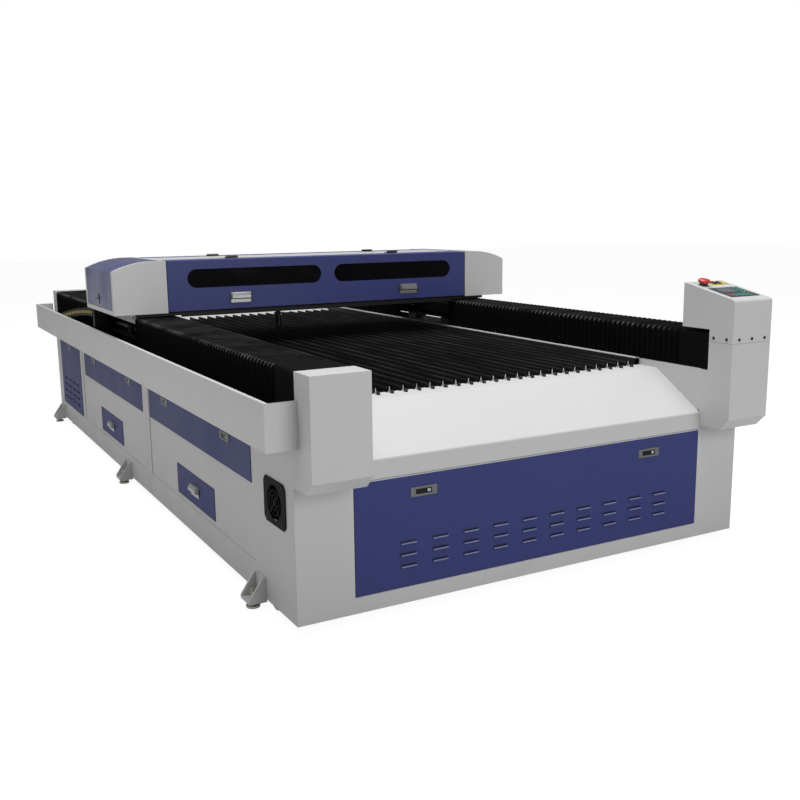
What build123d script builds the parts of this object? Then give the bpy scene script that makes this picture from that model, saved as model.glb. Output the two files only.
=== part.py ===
from build123d import *
import math
import os

# Laser engraving machine with a flat bed, a travelling gantry and a bellows over each rail.
# Millimetres. X runs across the machine, Y from its front to its rear, Z up from the floor.
# Shapes are drawn from the front plane of the body and stored about the middle of the floor area.

# Body
BODY_WIDTH = 1900.0
BODY_LENGTH = 3972.0
SKIRT_GAP = 32.0
SHEET = 3.0
THIN_SHEET = 2.0
SEAM = 2.0
COLUMN_WIDTH = 200.0
CABINET_DEPTH = 345.0
REAR_CABINET_DEPTH = 807.0
LEDGE_TOP = 137.0
LEDGE_STEP = 3.0
DECK_TOP = 680.0
RAIL_TOP = 707.0
CLADDING_TOP = RAIL_TOP - SHEET

# Front of the body
PANEL_LOW = 87.0
PANEL_HIGH = 470.0
APRON_BEND = 535.0
APRON_SLOPE_END = 241.0
BED_FRONT = 342.0
BED_REAR_LAND = 35.0
BEND_RADIUS = 9.0

# Base frame
BEAM = 80.0
BEAM_WALL = 5.0
FRAME_GAP = 5.0
MID_POST = 50.0
BODY_SPLIT = 1740.0
SPLIT_GAP = 2.0
RAIL_BEAM_WIDTH = 116.0
RAIL_BEAM_HEIGHT = 162.0
RAIL_BEAM_WALL = 6.0

# Access panels and drawers in the left side
SIDE_PANEL_LOW = 410.0
SIDE_PANEL_HIGH = 575.0
SIDE_PANEL_STARTS = (372.0, 1800.0)
SIDE_PANEL_LENGTH = 1306.0
TALL_DOOR_INSET = 60.0
TALL_DOOR_LENGTH = 620.0
DOOR_PROUD = 2.0
DOOR_FLANGE = 15.0
DRAWER_CENTRES = (1030.0, 2480.0)
DRAWER_WIDTH = 490.0
DRAWER_LOW = 157.0
DRAWER_HIGH = 287.0
DRAWER_DEPTH = 800.0
RUNNER_GAP = 0.3
LATCH_LENGTH = 100.0
LATCH_HEIGHT = 32.0
LATCH_DROP = 53.0
HANDLE_LENGTH = 116.0
HANDLE_HEIGHT = 48.0
HANDLE_DEPTH = 16.0
LOUVRE_LENGTH = 58.0
LOUVRE_HEIGHT = 12.0
LOUVRE_DEPTH = 6.0
LOUVRE_ROW_PITCH = 40.0
LOUVRE_COLUMN_PITCH = 122.4

# Bed
SLAT_COUNT = 25
SLAT_PITCH = 55.6
SLAT_THICKNESS = 4.0
SLAT_HEIGHT = 59.0
SLAT_TOP = 699.0
NOTCH_GAP = 1.0
NOTCH_DEPTH = 14.0
SUPPORT_BAR = 40.0
SUPPORT_COUNT = 5
LINER_INSET = 26.0
HOPPER_LOW = 300.0
HOPPER_INSET = 215.0
HOPPER_MOUTH = 570.0

# Front pods and control box
POD_PROUD = 144.0
POD_BOTTOM = 484.0
POD_CHAMFER = 42.0
POD_BACK = 36.0
POD_REAR = 30.0
POD_FLARE_TOP = 585.0
MOTOR_HALF = 28.0
MOTOR_CLEAR = 2.0
POD_TOP = 847.0
BOX_SEAM = 813.0
BOX_FRONT_TOP = 976.0
BOX_REAR_TOP = 1030.0
BOX_REAR = 108.0
BOX_UNDERSIDE = 860.0
BOX_BEND = 14.0

# Cable tray and its chain
TRAY_WIDTH = 105.0
TRAY_LOW = 614.0
TRAY_HIGH = 763.0
TRAY_FRONT = 50.0
TRAY_TAIL = 42.0
TRAY_LIP = 14.0
CHAIN_PITCH = 50.0
CHAIN_GAP = 3.0
CHAIN_WIDTH = 70.0
CHAIN_HEIGHT = 40.0
CHAIN_WALL = 4.0
CHAIN_RADIUS = 45.0
CHAIN_LOOP = 3330.0
CHAIN_ANCHOR = 2001.0
CHAIN_START_HEIGHT = 800.0

# Bellows
BELLOWS_TOP = 848.0
BELLOWS_BEVEL = 14.0
PLEAT_PITCH = 40.0
PLEAT_DEPTH = 14.0
BELLOWS_WALL = 5.0
BELLOWS_END_GAP = 1.0
COLLAR_END = 120.0
REAR_COVER_DEPTH = 112.0
REAR_COVER_TOP = 850.0

# Rails and screws
RAIL_WIDTH = 20.0
RAIL_HEIGHT = 20.0
RAIL_CENTRE = 800.0
RAIL_START = 60.0
RAIL_END_INSET = 132.0
SCREW_CENTRE = 900.0
SCREW_START = 0.5
SCREW_HEIGHT = 776.0
SCREW_RADIUS = 12.5
RUNNING_GAP = 0.05
SADDLE_GAP = 0.3
SADDLE_TOP = 34.0
BEARING_LENGTH = 36.0

# Gantry
GANTRY_FRONT = 1765.0
GANTRY_DEPTH = 586.0
GANTRY_TOP = 1105.0
DOOR_LOW = 873.0
FACE_HALF = 812.0
CAP_HALF = 1058.0
CAP_LOW = 868.0
CAP_EDGE_TOP = 1063.0
CAP_CROWN = 1107.0
CAP_FLAT = 850.0
CAP_RIM = 28.0
STRIP_START = 148.0
HINGE_OFFSET = 445.0
HINGE_LENGTH = 60.0
HINGE_RADIUS = 6.0
HINGE_RISE = 7.0
WINDOW_INNER = 36.0
WINDOW_LENGTH = 679.0
WINDOW_HEIGHT = 87.0
WINDOW_CENTRE = 1021.0
DOOR_HANDLE_OFFSET = 459.0
DOOR_HANDLE_HEIGHT = 925.0
BEAM_SETBACK = 65.0
BEAM_DEPTH = 100.0
BEAM_HEIGHT = 120.0
SHOE_LOW = 820.0
SHOE_HIGH = 852.0
SHOE_OUTER = 950.0
SHOE_INNER = 780.0
SHOE_SETBACK = 76.0
SHOE_REACH = 28.0
SHOE_CHEEK = 4.0
TOW_INSET = 16.0
TOW_DEPTH = 35.0
REAR_TUBE_SETBACK = 425.0
REAR_TUBE_HEIGHT = 60.0
SKIRT_SETBACK = 24.0
SKIRT_LOW = 845.0
TUBE_RADIUS = 40.0
TUBE_HALF = 760.0
TUBE_SETBACK = 345.0
TUBE_HEIGHT = 1005.0
X_RAIL_HEIGHT = 930.0
X_SCREW_RADIUS = 8.0
X_SCREW_SETBACK = 225.0
X_SCREW_HEIGHT = 960.0

# Head
HEAD_X = -162.0
HEAD_SETBACK = 275.0
LENS_RADIUS = 14.0
NOZZLE_TIP = 718.0
LENS_TOP = 886.0
RING_LOW = 842.0
RING_HEIGHT = 34.0
SHELF_LOW = 922.0
HOSE_DIAMETER = 4.0
HOSE_ARM_HEIGHT = 806.0
HOSE_REACH = 57.0
HOSE_SIDES = 12

# Feet and casters
FOOT_FRONT = 304.0
FOOT_MIDDLE = 2120.0
FOOT_REAR_INSET = 92.0
FOOT_WIDTH = 84.0
FOOT_REACH = 63.0
FOOT_PLATE = 8.0
FOOT_LOW = 23.0
FOOT_HIGH = 108.0
BOLT_RADIUS = 8.0
PAD_RADIUS = 24.0
FOOT_SIDES = 16
CASTER_INSET = 235.0
WHEEL_RADIUS = 62.5
WHEEL_WIDTH = 40.0
WHEEL_CLEAR = 2.0
CASTER_CENTRE = 909.0
FORK_SHEET = 2.5
FORK_TOP = 145.0
AXLE_RADIUS = 6.0

# Side fan
FAN_Y = 155.0
FAN_Z = 398.0
FAN_LENGTH = 180.0
FAN_HEIGHT = 152.0
FAN_RADIUS = 58.0
FAN_SIDES = 32

HALF = BODY_WIDTH / 2
COLUMN_INNER = HALF - COLUMN_WIDTH
REAR_CABINET = BODY_LENGTH - REAR_CABINET_DEPTH
BED_REAR = REAR_CABINET + BED_REAR_LAND
TALL_DOOR_START = REAR_CABINET + TALL_DOOR_INSET
REAR_COVER_START = BODY_LENGTH - REAR_COVER_DEPTH
RAIL_END = BODY_LENGTH - RAIL_END_INSET
FOOT_PLACES = (FOOT_FRONT, FOOT_MIDDLE, BODY_LENGTH - FOOT_REAR_INSET)
GANTRY_REAR = GANTRY_FRONT + GANTRY_DEPTH
GANTRY_MIDDLE = GANTRY_FRONT + GANTRY_DEPTH / 2
FRONT_Y = -(BODY_LENGTH + TRAY_TAIL - POD_PROUD) / 2


def block(x, y, z):
    """Box between two limits on each axis."""
    size = Box(x[1] - x[0], y[1] - y[0], z[1] - z[0])
    return Pos((x[0] + x[1]) / 2, (y[0] + y[1]) / 2, (z[0] + z[1]) / 2) * size


def hollow_bar(x, y, z, wall, along):
    """Square tube between two limits on each axis, open at both ends."""
    inner = []
    for axis, (low, high) in zip("xyz", (x, y, z)):
        if axis == along:
            inner.append((low - 1, high + 1))
        else:
            inner.append((low + wall, high - wall))
    return block(x, y, z) - block(*inner)


def side_prism(points, x):
    """Outline in Y and Z, given a width in X."""
    face = make_face(Polyline(*points, close=True))
    return extrude(Plane.YZ.offset(x[0]) * face, x[1] - x[0])


def front_prism(points, y):
    """Outline in X and Z, given a depth in Y."""
    face = make_face(Polyline(*points, close=True))
    return extrude(Plane.XZ.offset(-y[1]) * face, y[1] - y[0])


def rod(start, axis, radius, length):
    """Round bar from a point along a direction."""
    plane = Plane(origin=start, z_dir=axis)
    return extrude(plane * Circle(radius), length)


def sheet_outline(path, thickness):
    """Closed outline of a bent sheet whose outer face is the path, with the sheet on its right."""
    normals = []
    for (u0, v0), (u1, v1) in zip(path, path[1:]):
        length = math.hypot(u1 - u0, v1 - v0)
        normals.append(((v1 - v0) / length, (u0 - u1) / length))
    inner = []
    for i, (u, v) in enumerate(path):
        n = normals[max(i - 1, 0)]
        m = normals[min(i, len(normals) - 1)]
        share = thickness / (1 + n[0] * m[0] + n[1] * m[1])
        inner.append((u + (n[0] + m[0]) * share, v + (n[1] + m[1]) * share))
    return list(path) + inner[::-1]


def mirrored(shape):
    """The same piece on the other side of the machine."""
    return mirror(shape, about=Plane.YZ)


def both_sides(shapes):
    """Each piece and its mirror image."""
    return list(shapes) + [mirrored(s) for s in shapes]


def zigzag(start, end, count, crest, depth):
    """Fold line as points of place and height, from crest to crest."""
    step = (end - start) / (2 * count)
    return [(start + i * step, crest - depth * (i % 2)) for i in range(2 * count + 1)]


def save(node, *shapes):
    """Write the solids of one node, moved so that the origin is under the middle."""
    solids = []
    for shape in shapes:
        solids.extend(shape.solids())
    whole = solids[0] if len(solids) == 1 else Compound(children=solids)
    export_step(whole.moved(Location((0, FRONT_Y, 0))), "parts/" + node + ".step")


def latch(length=LATCH_LENGTH, height=LATCH_HEIGHT):
    """Flush slide latch seen from its front: plate, recess and thumb bar, facing -Z of its plane."""
    plate = extrude(Rectangle(length, height), DOOR_PROUD)
    recess = Pos(0, 0, 1) * extrude(Rectangle(length * 0.62, height * 0.56), DOOR_PROUD)
    knob = Pos(length * 0.2, 0, 0.5) * Box(length * 0.12, height * 0.28, 2.5)
    return plate - recess + knob


def pull_handle():
    """Cast pull: a screwed plate with ears and a hood that the fingers go under, facing +Z."""
    plate = extrude(Rectangle(HANDLE_LENGTH - 18, HANDLE_HEIGHT), 2.5)
    ears = extrude(Rectangle(HANDLE_LENGTH, HANDLE_HEIGHT * 0.62), 2.5)
    half = HANDLE_HEIGHT / 2
    hood = [
        (half - 2, 0),
        (half - 2, HANDLE_DEPTH * 0.55),
        (half * 0.35, HANDLE_DEPTH),
        (-half * 0.12, HANDLE_DEPTH),
        (-half * 0.12, HANDLE_DEPTH - 3),
        (half * 0.3, HANDLE_DEPTH - 3),
        (half - 5, HANDLE_DEPTH * 0.5),
        (half - 5, 0),
    ]
    length = HANDLE_LENGTH - 24
    face = make_face(Polyline(*hood, close=True))
    grip = extrude(Plane.YZ.offset(-length / 2) * face, length)
    cheek = [(half - 2, 0), (half - 2, 9), (6, HANDLE_DEPTH), (-3, HANDLE_DEPTH), (-3, 0)]
    cheek_face = make_face(Polyline(*cheek, close=True))
    cheeks = [
        extrude(Plane.YZ.offset(s * length / 2 - (2 if s > 0 else 0)) * cheek_face, 2)
        for s in (-1, 1)
    ]
    return plate + ears + grip + cheeks


def on_front(shape, x, y, z):
    """Put a piece drawn facing +Z on a wall that faces the front."""
    return Plane(origin=(x, y, z), x_dir=(1, 0, 0), z_dir=(0, -1, 0)) * shape


def on_left(shape, x, y, z):
    """Put a piece drawn facing +Z on a wall that faces left."""
    return Plane(origin=(x, y, z), x_dir=(0, -1, 0), z_dir=(-1, 0, 0)) * shape


def louvre():
    """Pressed louvre: a hood that is open below, facing +Z."""
    half = LOUVRE_HEIGHT / 2
    outline = [(half, 0), (half * 0.2, LOUVRE_DEPTH), (-half, LOUVRE_DEPTH), (-half, 0)]
    side = make_face(Polyline(*outline, close=True))
    hood = extrude(Plane.YZ.offset(-LOUVRE_LENGTH / 2) * side, LOUVRE_LENGTH)
    inside = Pos(0, -half * 0.35, LOUVRE_DEPTH * 0.4)
    inside *= Box(LOUVRE_LENGTH - 12, half * 1.4, LOUVRE_DEPTH * 0.7)
    return hood - inside


def tray_door(y, z):
    """Bottom-hung access panel in the left side: a sheet with its edges folded in."""
    outer = HALF - LEDGE_STEP + DOOR_PROUD
    skin = block((-outer, -outer + DOOR_FLANGE), (y[0] + SEAM, y[1] - SEAM), (z[0] + SEAM, z[1] - SEAM))
    inside = block(
        (-outer + THIN_SHEET, -outer + DOOR_FLANGE + 1),
        (y[0] + SEAM + THIN_SHEET, y[1] - SEAM - THIN_SHEET),
        (z[0] + SEAM + THIN_SHEET, z[1] - SEAM - THIN_SHEET),
    )
    return skin - inside


# Base frame

def base_frame():
    """Welded square tubes under and inside the cladding."""
    low = SKIRT_GAP + FRAME_GAP
    split = (BODY_SPLIT - SPLIT_GAP / 2, BODY_SPLIT + SPLIT_GAP / 2)
    posts = (split[0] - MID_POST, split[1] + MID_POST)
    inner = COLUMN_INNER + 40
    beam_inner = HALF - BEAM
    plate_low = FORK_TOP
    bars = []
    for y in ((CABINET_DEPTH, posts[0]), (posts[1], REAR_CABINET)):
        bars.append(hollow_bar((-HALF, -beam_inner), y, (SKIRT_GAP, LEDGE_TOP), BEAM_WALL, "y"))
    for y in ((posts[0], split[0]), (split[1], posts[1])):
        bars.append(hollow_bar((-HALF, -beam_inner), y, (SKIRT_GAP, CLADDING_TOP), BEAM_WALL, "z"))
    for y in ((SHEET, CABINET_DEPTH), (REAR_CABINET, BODY_LENGTH - SHEET)):
        bars.append(hollow_bar((-beam_inner, -inner), y, (low, plate_low), BEAM_WALL, "y"))
    rail_low = RAIL_TOP - RAIL_BEAM_HEIGHT
    for y in (CABINET_DEPTH - 70, REAR_CABINET):
        bars.append(hollow_bar((-inner - 70, -inner), (y, y + 70), (plate_low, rail_low), BEAM_WALL, "z"))
    for y in (CASTER_INSET, BODY_LENGTH - CASTER_INSET):
        x = (-HALF + DOOR_FLANGE + 2, -inner)
        bars.append(block(x, (y - 60, y + 60), (plate_low, plate_low + 8)))
    for y in DRAWER_CENTRES:
        for side in (-1, 1):
            runner = y + side * (DRAWER_WIDTH / 2 - 25)
            x = (-HALF + SHEET + LEDGE_STEP, -HALF + DRAWER_DEPTH + 40)
            bars.append(block(x, (runner - 10, runner + 10), (LEDGE_TOP, DRAWER_LOW + SEAM - RUNNER_GAP)))
    bars = both_sides(bars)
    cross_places = (CABINET_DEPTH, BODY_SPLIT - BEAM / 2, REAR_CABINET - BEAM)
    for y in cross_places:
        x = (-beam_inner, beam_inner)
        bars.append(hollow_bar(x, (y, y + BEAM), (low, low + BEAM), BEAM_WALL, "x"))
    for y in (SHEET, BODY_LENGTH - SHEET - BEAM):
        x = (-inner, inner)
        bars.append(hollow_bar(x, (y, y + BEAM), (low, PANEL_LOW - 2), BEAM_WALL, "x"))
    return bars


# Cladding

def side_cladding(openings):
    """Two side sheets, set in from the lower beam, one each side of the body split."""
    x = (-HALF + LEDGE_STEP, -HALF + LEDGE_STEP + SHEET)
    post = SPLIT_GAP / 2 + MID_POST
    sheets = []
    for y in ((CABINET_DEPTH, BODY_SPLIT - post), (BODY_SPLIT + post, REAR_CABINET)):
        sheet = block(x, y, (LEDGE_TOP, CLADDING_TOP))
        for hole_y, hole_z in openings:
            if y[0] < hole_y[0] < y[1]:
                sheet -= block((x[0] - 1, x[1] + 1), hole_y, hole_z)
        sheets.append(sheet)
    return sheets


def left_openings():
    """Openings for the two long panels and the two drawers."""
    holes = []
    for start in SIDE_PANEL_STARTS:
        holes.append(((start, start + SIDE_PANEL_LENGTH), (SIDE_PANEL_LOW, SIDE_PANEL_HIGH)))
    for centre in DRAWER_CENTRES:
        y = (centre - DRAWER_WIDTH / 2, centre + DRAWER_WIDTH / 2)
        holes.append((y, (DRAWER_LOW, DRAWER_HIGH)))
    return holes


def front_fascia():
    """Folded front sheet: a lower rail, two columns and the side returns beside the pods."""
    front = block((-HALF, HALF), (0, SHEET), (SKIRT_GAP, CLADDING_TOP))
    opening_half = COLUMN_INNER - SEAM
    front -= block((-opening_half, opening_half), (-1, SHEET + 1), (PANEL_LOW, PANEL_HIGH + 1))
    front -= block((-COLUMN_INNER, COLUMN_INNER), (-1, SHEET + 1), (PANEL_HIGH, CLADDING_TOP + 1))
    flare = [(0, POD_BOTTOM), (POD_BACK, POD_BOTTOM + 8), (-POD_REAR, POD_FLARE_TOP)]
    side = [
        (0, SKIRT_GAP),
        (CABINET_DEPTH, SKIRT_GAP),
        (CABINET_DEPTH, CLADDING_TOP),
        (-POD_REAR, CLADDING_TOP),
    ]
    left = side_prism(side + flare[::-1], (-HALF, -HALF + SHEET))
    corner = side_prism(flare + [(-POD_REAR, POD_BOTTOM)], (-HALF - 1, -HALF + SHEET))
    front = front - corner - mirrored(corner)
    hole = block(
        (-HALF - 1, -HALF + SHEET + 1),
        (FAN_Y - FAN_RADIUS - 4, FAN_Y + FAN_RADIUS + 4),
        (FAN_Z - FAN_RADIUS - 4, FAN_Z + FAN_RADIUS + 4),
    )
    return front + (left - hole) + mirrored(left)


def rear_panel():
    """Folded rear sheet with side returns and the tall door's opening."""
    low = (SKIRT_GAP, CLADDING_TOP)
    rear = block((-HALF, HALF), (BODY_LENGTH - SHEET, BODY_LENGTH), low)
    side = block((-HALF, -HALF + SHEET), (REAR_CABINET, BODY_LENGTH), low)
    door_y = (TALL_DOOR_START, TALL_DOOR_START + TALL_DOOR_LENGTH)
    hole = block((-HALF - 1, -HALF + SHEET + 1), door_y, (LEDGE_TOP, SIDE_PANEL_HIGH))
    return rear + (side - hole) + mirrored(side)


def slat_places():
    """Centre of each slat across the bed."""
    middle = (SLAT_COUNT - 1) / 2
    return [(i - middle) * SLAT_PITCH for i in range(SLAT_COUNT)]


def notched(sheet, y):
    """Cut one notch for each slat through the edge of a sheet."""
    half = SLAT_THICKNESS / 2 + NOTCH_GAP
    low = SLAT_TOP - SLAT_HEIGHT
    notches = [block((x - half, x + half), y, (low - 30, DECK_TOP + 1)) for x in slat_places()]
    return sheet - notches


def front_apron():
    """Sloped sheet over the front of the bed, with a notched strip that holds the slats."""
    path = [
        (0, PANEL_HIGH),
        (0, APRON_BEND),
        (APRON_SLOPE_END, DECK_TOP),
        (BED_FRONT, DECK_TOP),
        (BED_FRONT, SLAT_TOP - SLAT_HEIGHT),
    ]
    sheet = side_prism(sheet_outline(path, SHEET), (-COLUMN_INNER, COLUMN_INNER))

    def at_bend(edge):
        """Edges across the machine at the bend over the panel."""
        c = edge.center()
        return abs(c.X) < 1 and abs(c.Y - 1.5) < 3 and abs(c.Z - APRON_BEND) < 6

    outer = [e for e in sheet.edges() if at_bend(e) and abs(e.center().Y) < 0.1]
    sheet = fillet(outer, BEND_RADIUS)
    sheet -= block((-COLUMN_INNER - 1, COLUMN_INNER + 1), (SHEET, SHEET + 1), (PANEL_HIGH - 1, PANEL_HIGH))
    return notched(sheet, (BED_FRONT - NOTCH_DEPTH, BED_FRONT + 1))


def rear_deck():
    """Flat cover behind the bed, with the notches for the slats' rear ends."""
    path = [
        (BED_REAR, SLAT_TOP - SLAT_HEIGHT),
        (BED_REAR, DECK_TOP),
        (BODY_LENGTH - SHEET, DECK_TOP),
        (BODY_LENGTH - SHEET, DECK_TOP - 40),
    ]
    sheet = side_prism(sheet_outline(path, SHEET), (-COLUMN_INNER, COLUMN_INNER))
    return notched(sheet, (BED_REAR - 1, BED_REAR + NOTCH_DEPTH))


# Bed

def bed_slats():
    """Knife slats: thin bars with a narrow upper edge."""
    half = SLAT_THICKNESS / 2
    low = SLAT_TOP - SLAT_HEIGHT
    y = (BED_FRONT - NOTCH_DEPTH + 3, BED_REAR + NOTCH_DEPTH - 3)
    slats = []
    for x in slat_places():
        outline = [
            (x - half, low),
            (x + half, low),
            (x + half, SLAT_TOP - 9),
            (x + 0.5, SLAT_TOP),
            (x - 0.5, SLAT_TOP),
            (x - half, SLAT_TOP - 9),
        ]
        slats.append(front_prism(outline, y))
    return slats


def slat_supports():
    """Square tubes across the bed that the slats stand on."""
    high = SLAT_TOP - SLAT_HEIGHT
    first = BED_FRONT + 58
    pitch = (BED_REAR - 58 - first) / (SUPPORT_COUNT - 1)
    bars = []
    for i in range(SUPPORT_COUNT):
        y = first + i * pitch
        limits = (y - SUPPORT_BAR / 2, y + SUPPORT_BAR / 2)
        x = (-COLUMN_INNER, COLUMN_INNER)
        bars.append(hollow_bar(x, limits, (high - SUPPORT_BAR, high), 3, "x"))
    return bars


def funnel_walls(top, bottom, high, low):
    """Four mitred sheets between two rectangles given as limits in X and Y, as convex pieces."""

    def corners(limits, inset):
        """Corners of one rectangle, pulled in by an inset."""
        (x0, x1), (y0, y1) = limits
        left, right, near, far = x0 + inset, x1 - inset, y0 + inset, y1 - inset
        return [(left, near), (right, near), (right, far), (left, far)]

    rings = []
    for limits, height in ((top, high), (bottom, low)):
        for inset in (0, THIN_SHEET):
            rings.append([(x, y, height) for x, y in corners(limits, inset)])
    walls = []
    for i in range(4):
        j = (i + 1) % 4
        points = [ring[k] for ring in rings for k in (i, j)]
        walls.append(ConvexPolyhedron(points))
    return walls


def scrap_hopper():
    """Side liners of the bed and two funnels that lead to the drawers."""
    inner = COLUMN_INNER - LINER_INSET
    low = SLAT_TOP - SLAT_HEIGHT + 1
    path = [(COLUMN_INNER, RAIL_TOP + 2), (inner, RAIL_TOP + 2), (inner, low)]
    outline = sheet_outline(path[::-1], THIN_SHEET)
    liner = front_prism(outline, (BED_FRONT + 0.5, BED_REAR - 0.5))
    pieces = both_sides([liner])
    high = SLAT_TOP - SLAT_HEIGHT - SUPPORT_BAR - 2
    middle = (BED_FRONT + BED_REAR) / 2
    tops = ((BED_FRONT + 4, middle - 1), (middle + 1, BED_REAR - 4))
    mouth_x = (-HALF + HOPPER_INSET, -HALF + HOPPER_INSET + HOPPER_MOUTH)
    for limits, centre in zip(tops, DRAWER_CENTRES):
        mouth = DRAWER_WIDTH / 2 - 40
        top = ((-COLUMN_INNER, COLUMN_INNER), limits)
        bottom = (mouth_x, (centre - mouth, centre + mouth))
        pieces.extend(funnel_walls(top, bottom, high, HOPPER_LOW))
    return pieces


# Rails

def rail_profile(gap=0.0):
    """Section of a profiled rail about its foot, grown by a gap."""
    half = RAIL_WIDTH / 2 + gap
    waist = half - 4
    high = RAIL_HEIGHT + gap
    right = [(half, 0), (half, 5), (waist, 9), (waist, 13), (half, 16), (half, high)]
    left = [(-x, z) for x, z in right[::-1]]
    return right + left


def rail_beams():
    """Box beams that carry the rails, with the screws' end bearings bolted on."""
    outer = COLUMN_INNER + RAIL_BEAM_WIDTH
    low = RAIL_TOP - RAIL_BEAM_HEIGHT
    y = (SHEET, BODY_LENGTH - SHEET)
    beam = hollow_bar((-outer, -COLUMN_INNER), y, (low, RAIL_TOP), RAIL_BEAM_WALL, "y")
    pieces = [beam]
    half = BEARING_LENGTH / 2
    for place in (RAIL_START - half - 12, RAIL_END - half):
        limits = (place - half, place + half)
        foot = block((-SCREW_CENTRE - 30, -COLUMN_INNER - 22), limits, (RAIL_TOP, RAIL_TOP + 8))
        body = block((-SCREW_CENTRE - 26, -SCREW_CENTRE + 26), limits, (RAIL_TOP + 8, SCREW_HEIGHT + 24))
        start = (-SCREW_CENTRE, place - half - 1, SCREW_HEIGHT)
        bearing = foot + body - rod(start, (0, 1, 0), SCREW_RADIUS + RUNNING_GAP, BEARING_LENGTH + 2)
        pieces.append(bearing)
    return both_sides(pieces)


def linear_rails():
    """Profiled rail on each beam."""
    outline = [(x - RAIL_CENTRE, z + RAIL_TOP) for x, z in rail_profile()]
    return both_sides([front_prism(outline, (RAIL_START, RAIL_END - BEARING_LENGTH - 4))])


def ball_screw():
    """Long screw of one side, from its motor's face to the end of the rear bearing."""
    start = (-SCREW_CENTRE, SCREW_START, SCREW_HEIGHT)
    return rod(start, (0, 1, 0), SCREW_RADIUS, RAIL_END - SCREW_START)


def motor_block(half, y):
    """Square block about the left screw's axis, as the motor or as the hole it passes through."""
    x = (-SCREW_CENTRE - half, -SCREW_CENTRE + half)
    return block(x, y, (SCREW_HEIGHT - half, SCREW_HEIGHT + half))


def y_motors():
    """Servo motor in each pod, in line with its screw."""
    front = -POD_PROUD + 20
    face = RAIL_START - 60
    body = motor_block(MOTOR_HALF, (front, face - 8))
    x = (-SCREW_CENTRE - MOTOR_HALF - 2, -SCREW_CENTRE + MOTOR_HALF + 2)
    flange = block(x, (face - 8, face), (RAIL_TOP + 3, SCREW_HEIGHT + MOTOR_HALF + 6))
    return both_sides([body + flange])


# Bellows

def pleated_cover(start, collar, end):
    """Inverted trough of sharp pleats over the left rail, with a plain collar before the first."""
    low = RAIL_TOP + 0.5
    count = round((end - collar) / PLEAT_PITCH)

    def folds(crest):
        """Fold line with the collar's edge, measured out to a crest."""
        line = zigzag(collar, end, count, crest, PLEAT_DEPTH)
        return line if start == collar else [(start, crest)] + line

    roof = side_prism([(end, low), (start, low)] + folds(BELLOWS_TOP), (-HALF, -COLUMN_INNER))
    half_width = (HALF - COLUMN_INNER) / 2
    sides = [(-w, y) for y, w in folds(half_width)] + [(w, y) for y, w in folds(half_width)[::-1]]
    plan = Pos(-HALF + half_width, 0, low) * make_face(Polyline(*sides, close=True))
    wall = PLEAT_DEPTH + BELLOWS_WALL
    inside = block(
        (-HALF + wall, -COLUMN_INNER - wall),
        (start - 1, end + 1),
        (low - 1, BELLOWS_TOP - wall),
    )
    return (roof & extrude(plan, BELLOWS_TOP - low)) - inside


def rear_rail_covers():
    """Sheet box at the rear end of each rail, which the rear bellows fasten to."""
    y = (REAR_COVER_START, BODY_LENGTH)
    outer = block((-HALF, -COLUMN_INNER), y, (RAIL_TOP, REAR_COVER_TOP))
    inner = block(
        (-HALF + THIN_SHEET, -COLUMN_INNER - THIN_SHEET),
        (y[0] + THIN_SHEET, y[1] - THIN_SHEET),
        (RAIL_TOP - 1, REAR_COVER_TOP - THIN_SHEET),
    )
    return both_sides([outer - inner])


# Pods and control box

def pod(high, closed):
    """Sheet pod at a front corner, drawn on the left, with its rear flare along the side."""
    outline = [
        (-POD_PROUD, POD_BOTTOM + POD_CHAMFER),
        (-POD_PROUD + POD_CHAMFER, POD_BOTTOM),
        (0, POD_BOTTOM),
        (POD_BACK, POD_BOTTOM + 8),
        (-POD_REAR, POD_FLARE_TOP),
        (-POD_REAR, high),
        (-POD_PROUD, high),
    ]
    roof = high - THIN_SHEET if closed else high + 1
    inside = [
        (-POD_PROUD + THIN_SHEET, POD_BOTTOM + POD_CHAMFER + 1),
        (-POD_PROUD + POD_CHAMFER + 1, POD_BOTTOM + THIN_SHEET),
        (POD_BACK + 9, POD_BOTTOM + THIN_SHEET),
        (POD_BACK + 9, POD_FLARE_TOP + 12),
        (-POD_REAR - THIN_SHEET, POD_FLARE_TOP + 12),
        (-POD_REAR - THIN_SHEET, roof),
        (-POD_PROUD + THIN_SHEET, roof),
    ]
    shell = side_prism(outline, (-HALF, -COLUMN_INNER))
    shell -= side_prism(inside, (-HALF + SHEET, -COLUMN_INNER - SHEET))
    shell -= motor_block(MOTOR_HALF + MOTOR_CLEAR, (-POD_REAR - THIN_SHEET - 1, -POD_REAR + 1))
    x = (-COLUMN_INNER - SHEET, -COLUMN_INNER)
    cheek = block(x, (-POD_REAR, 0), (POD_BOTTOM, CLADDING_TOP))
    x = (-HALF + SHEET, -COLUMN_INNER + 1)
    clear = block(x, (0, POD_BACK + 1), (POD_BOTTOM - 1, POD_FLARE_TOP + 1))
    return shell + cheek - clear


def box_slope(y):
    """Height of the control box's top at a distance behind the body's front."""
    rise = (BOX_REAR_TOP - BOX_FRONT_TOP) / (BOX_REAR + POD_PROUD)
    return BOX_FRONT_TOP + (y + POD_PROUD) * rise


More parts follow.
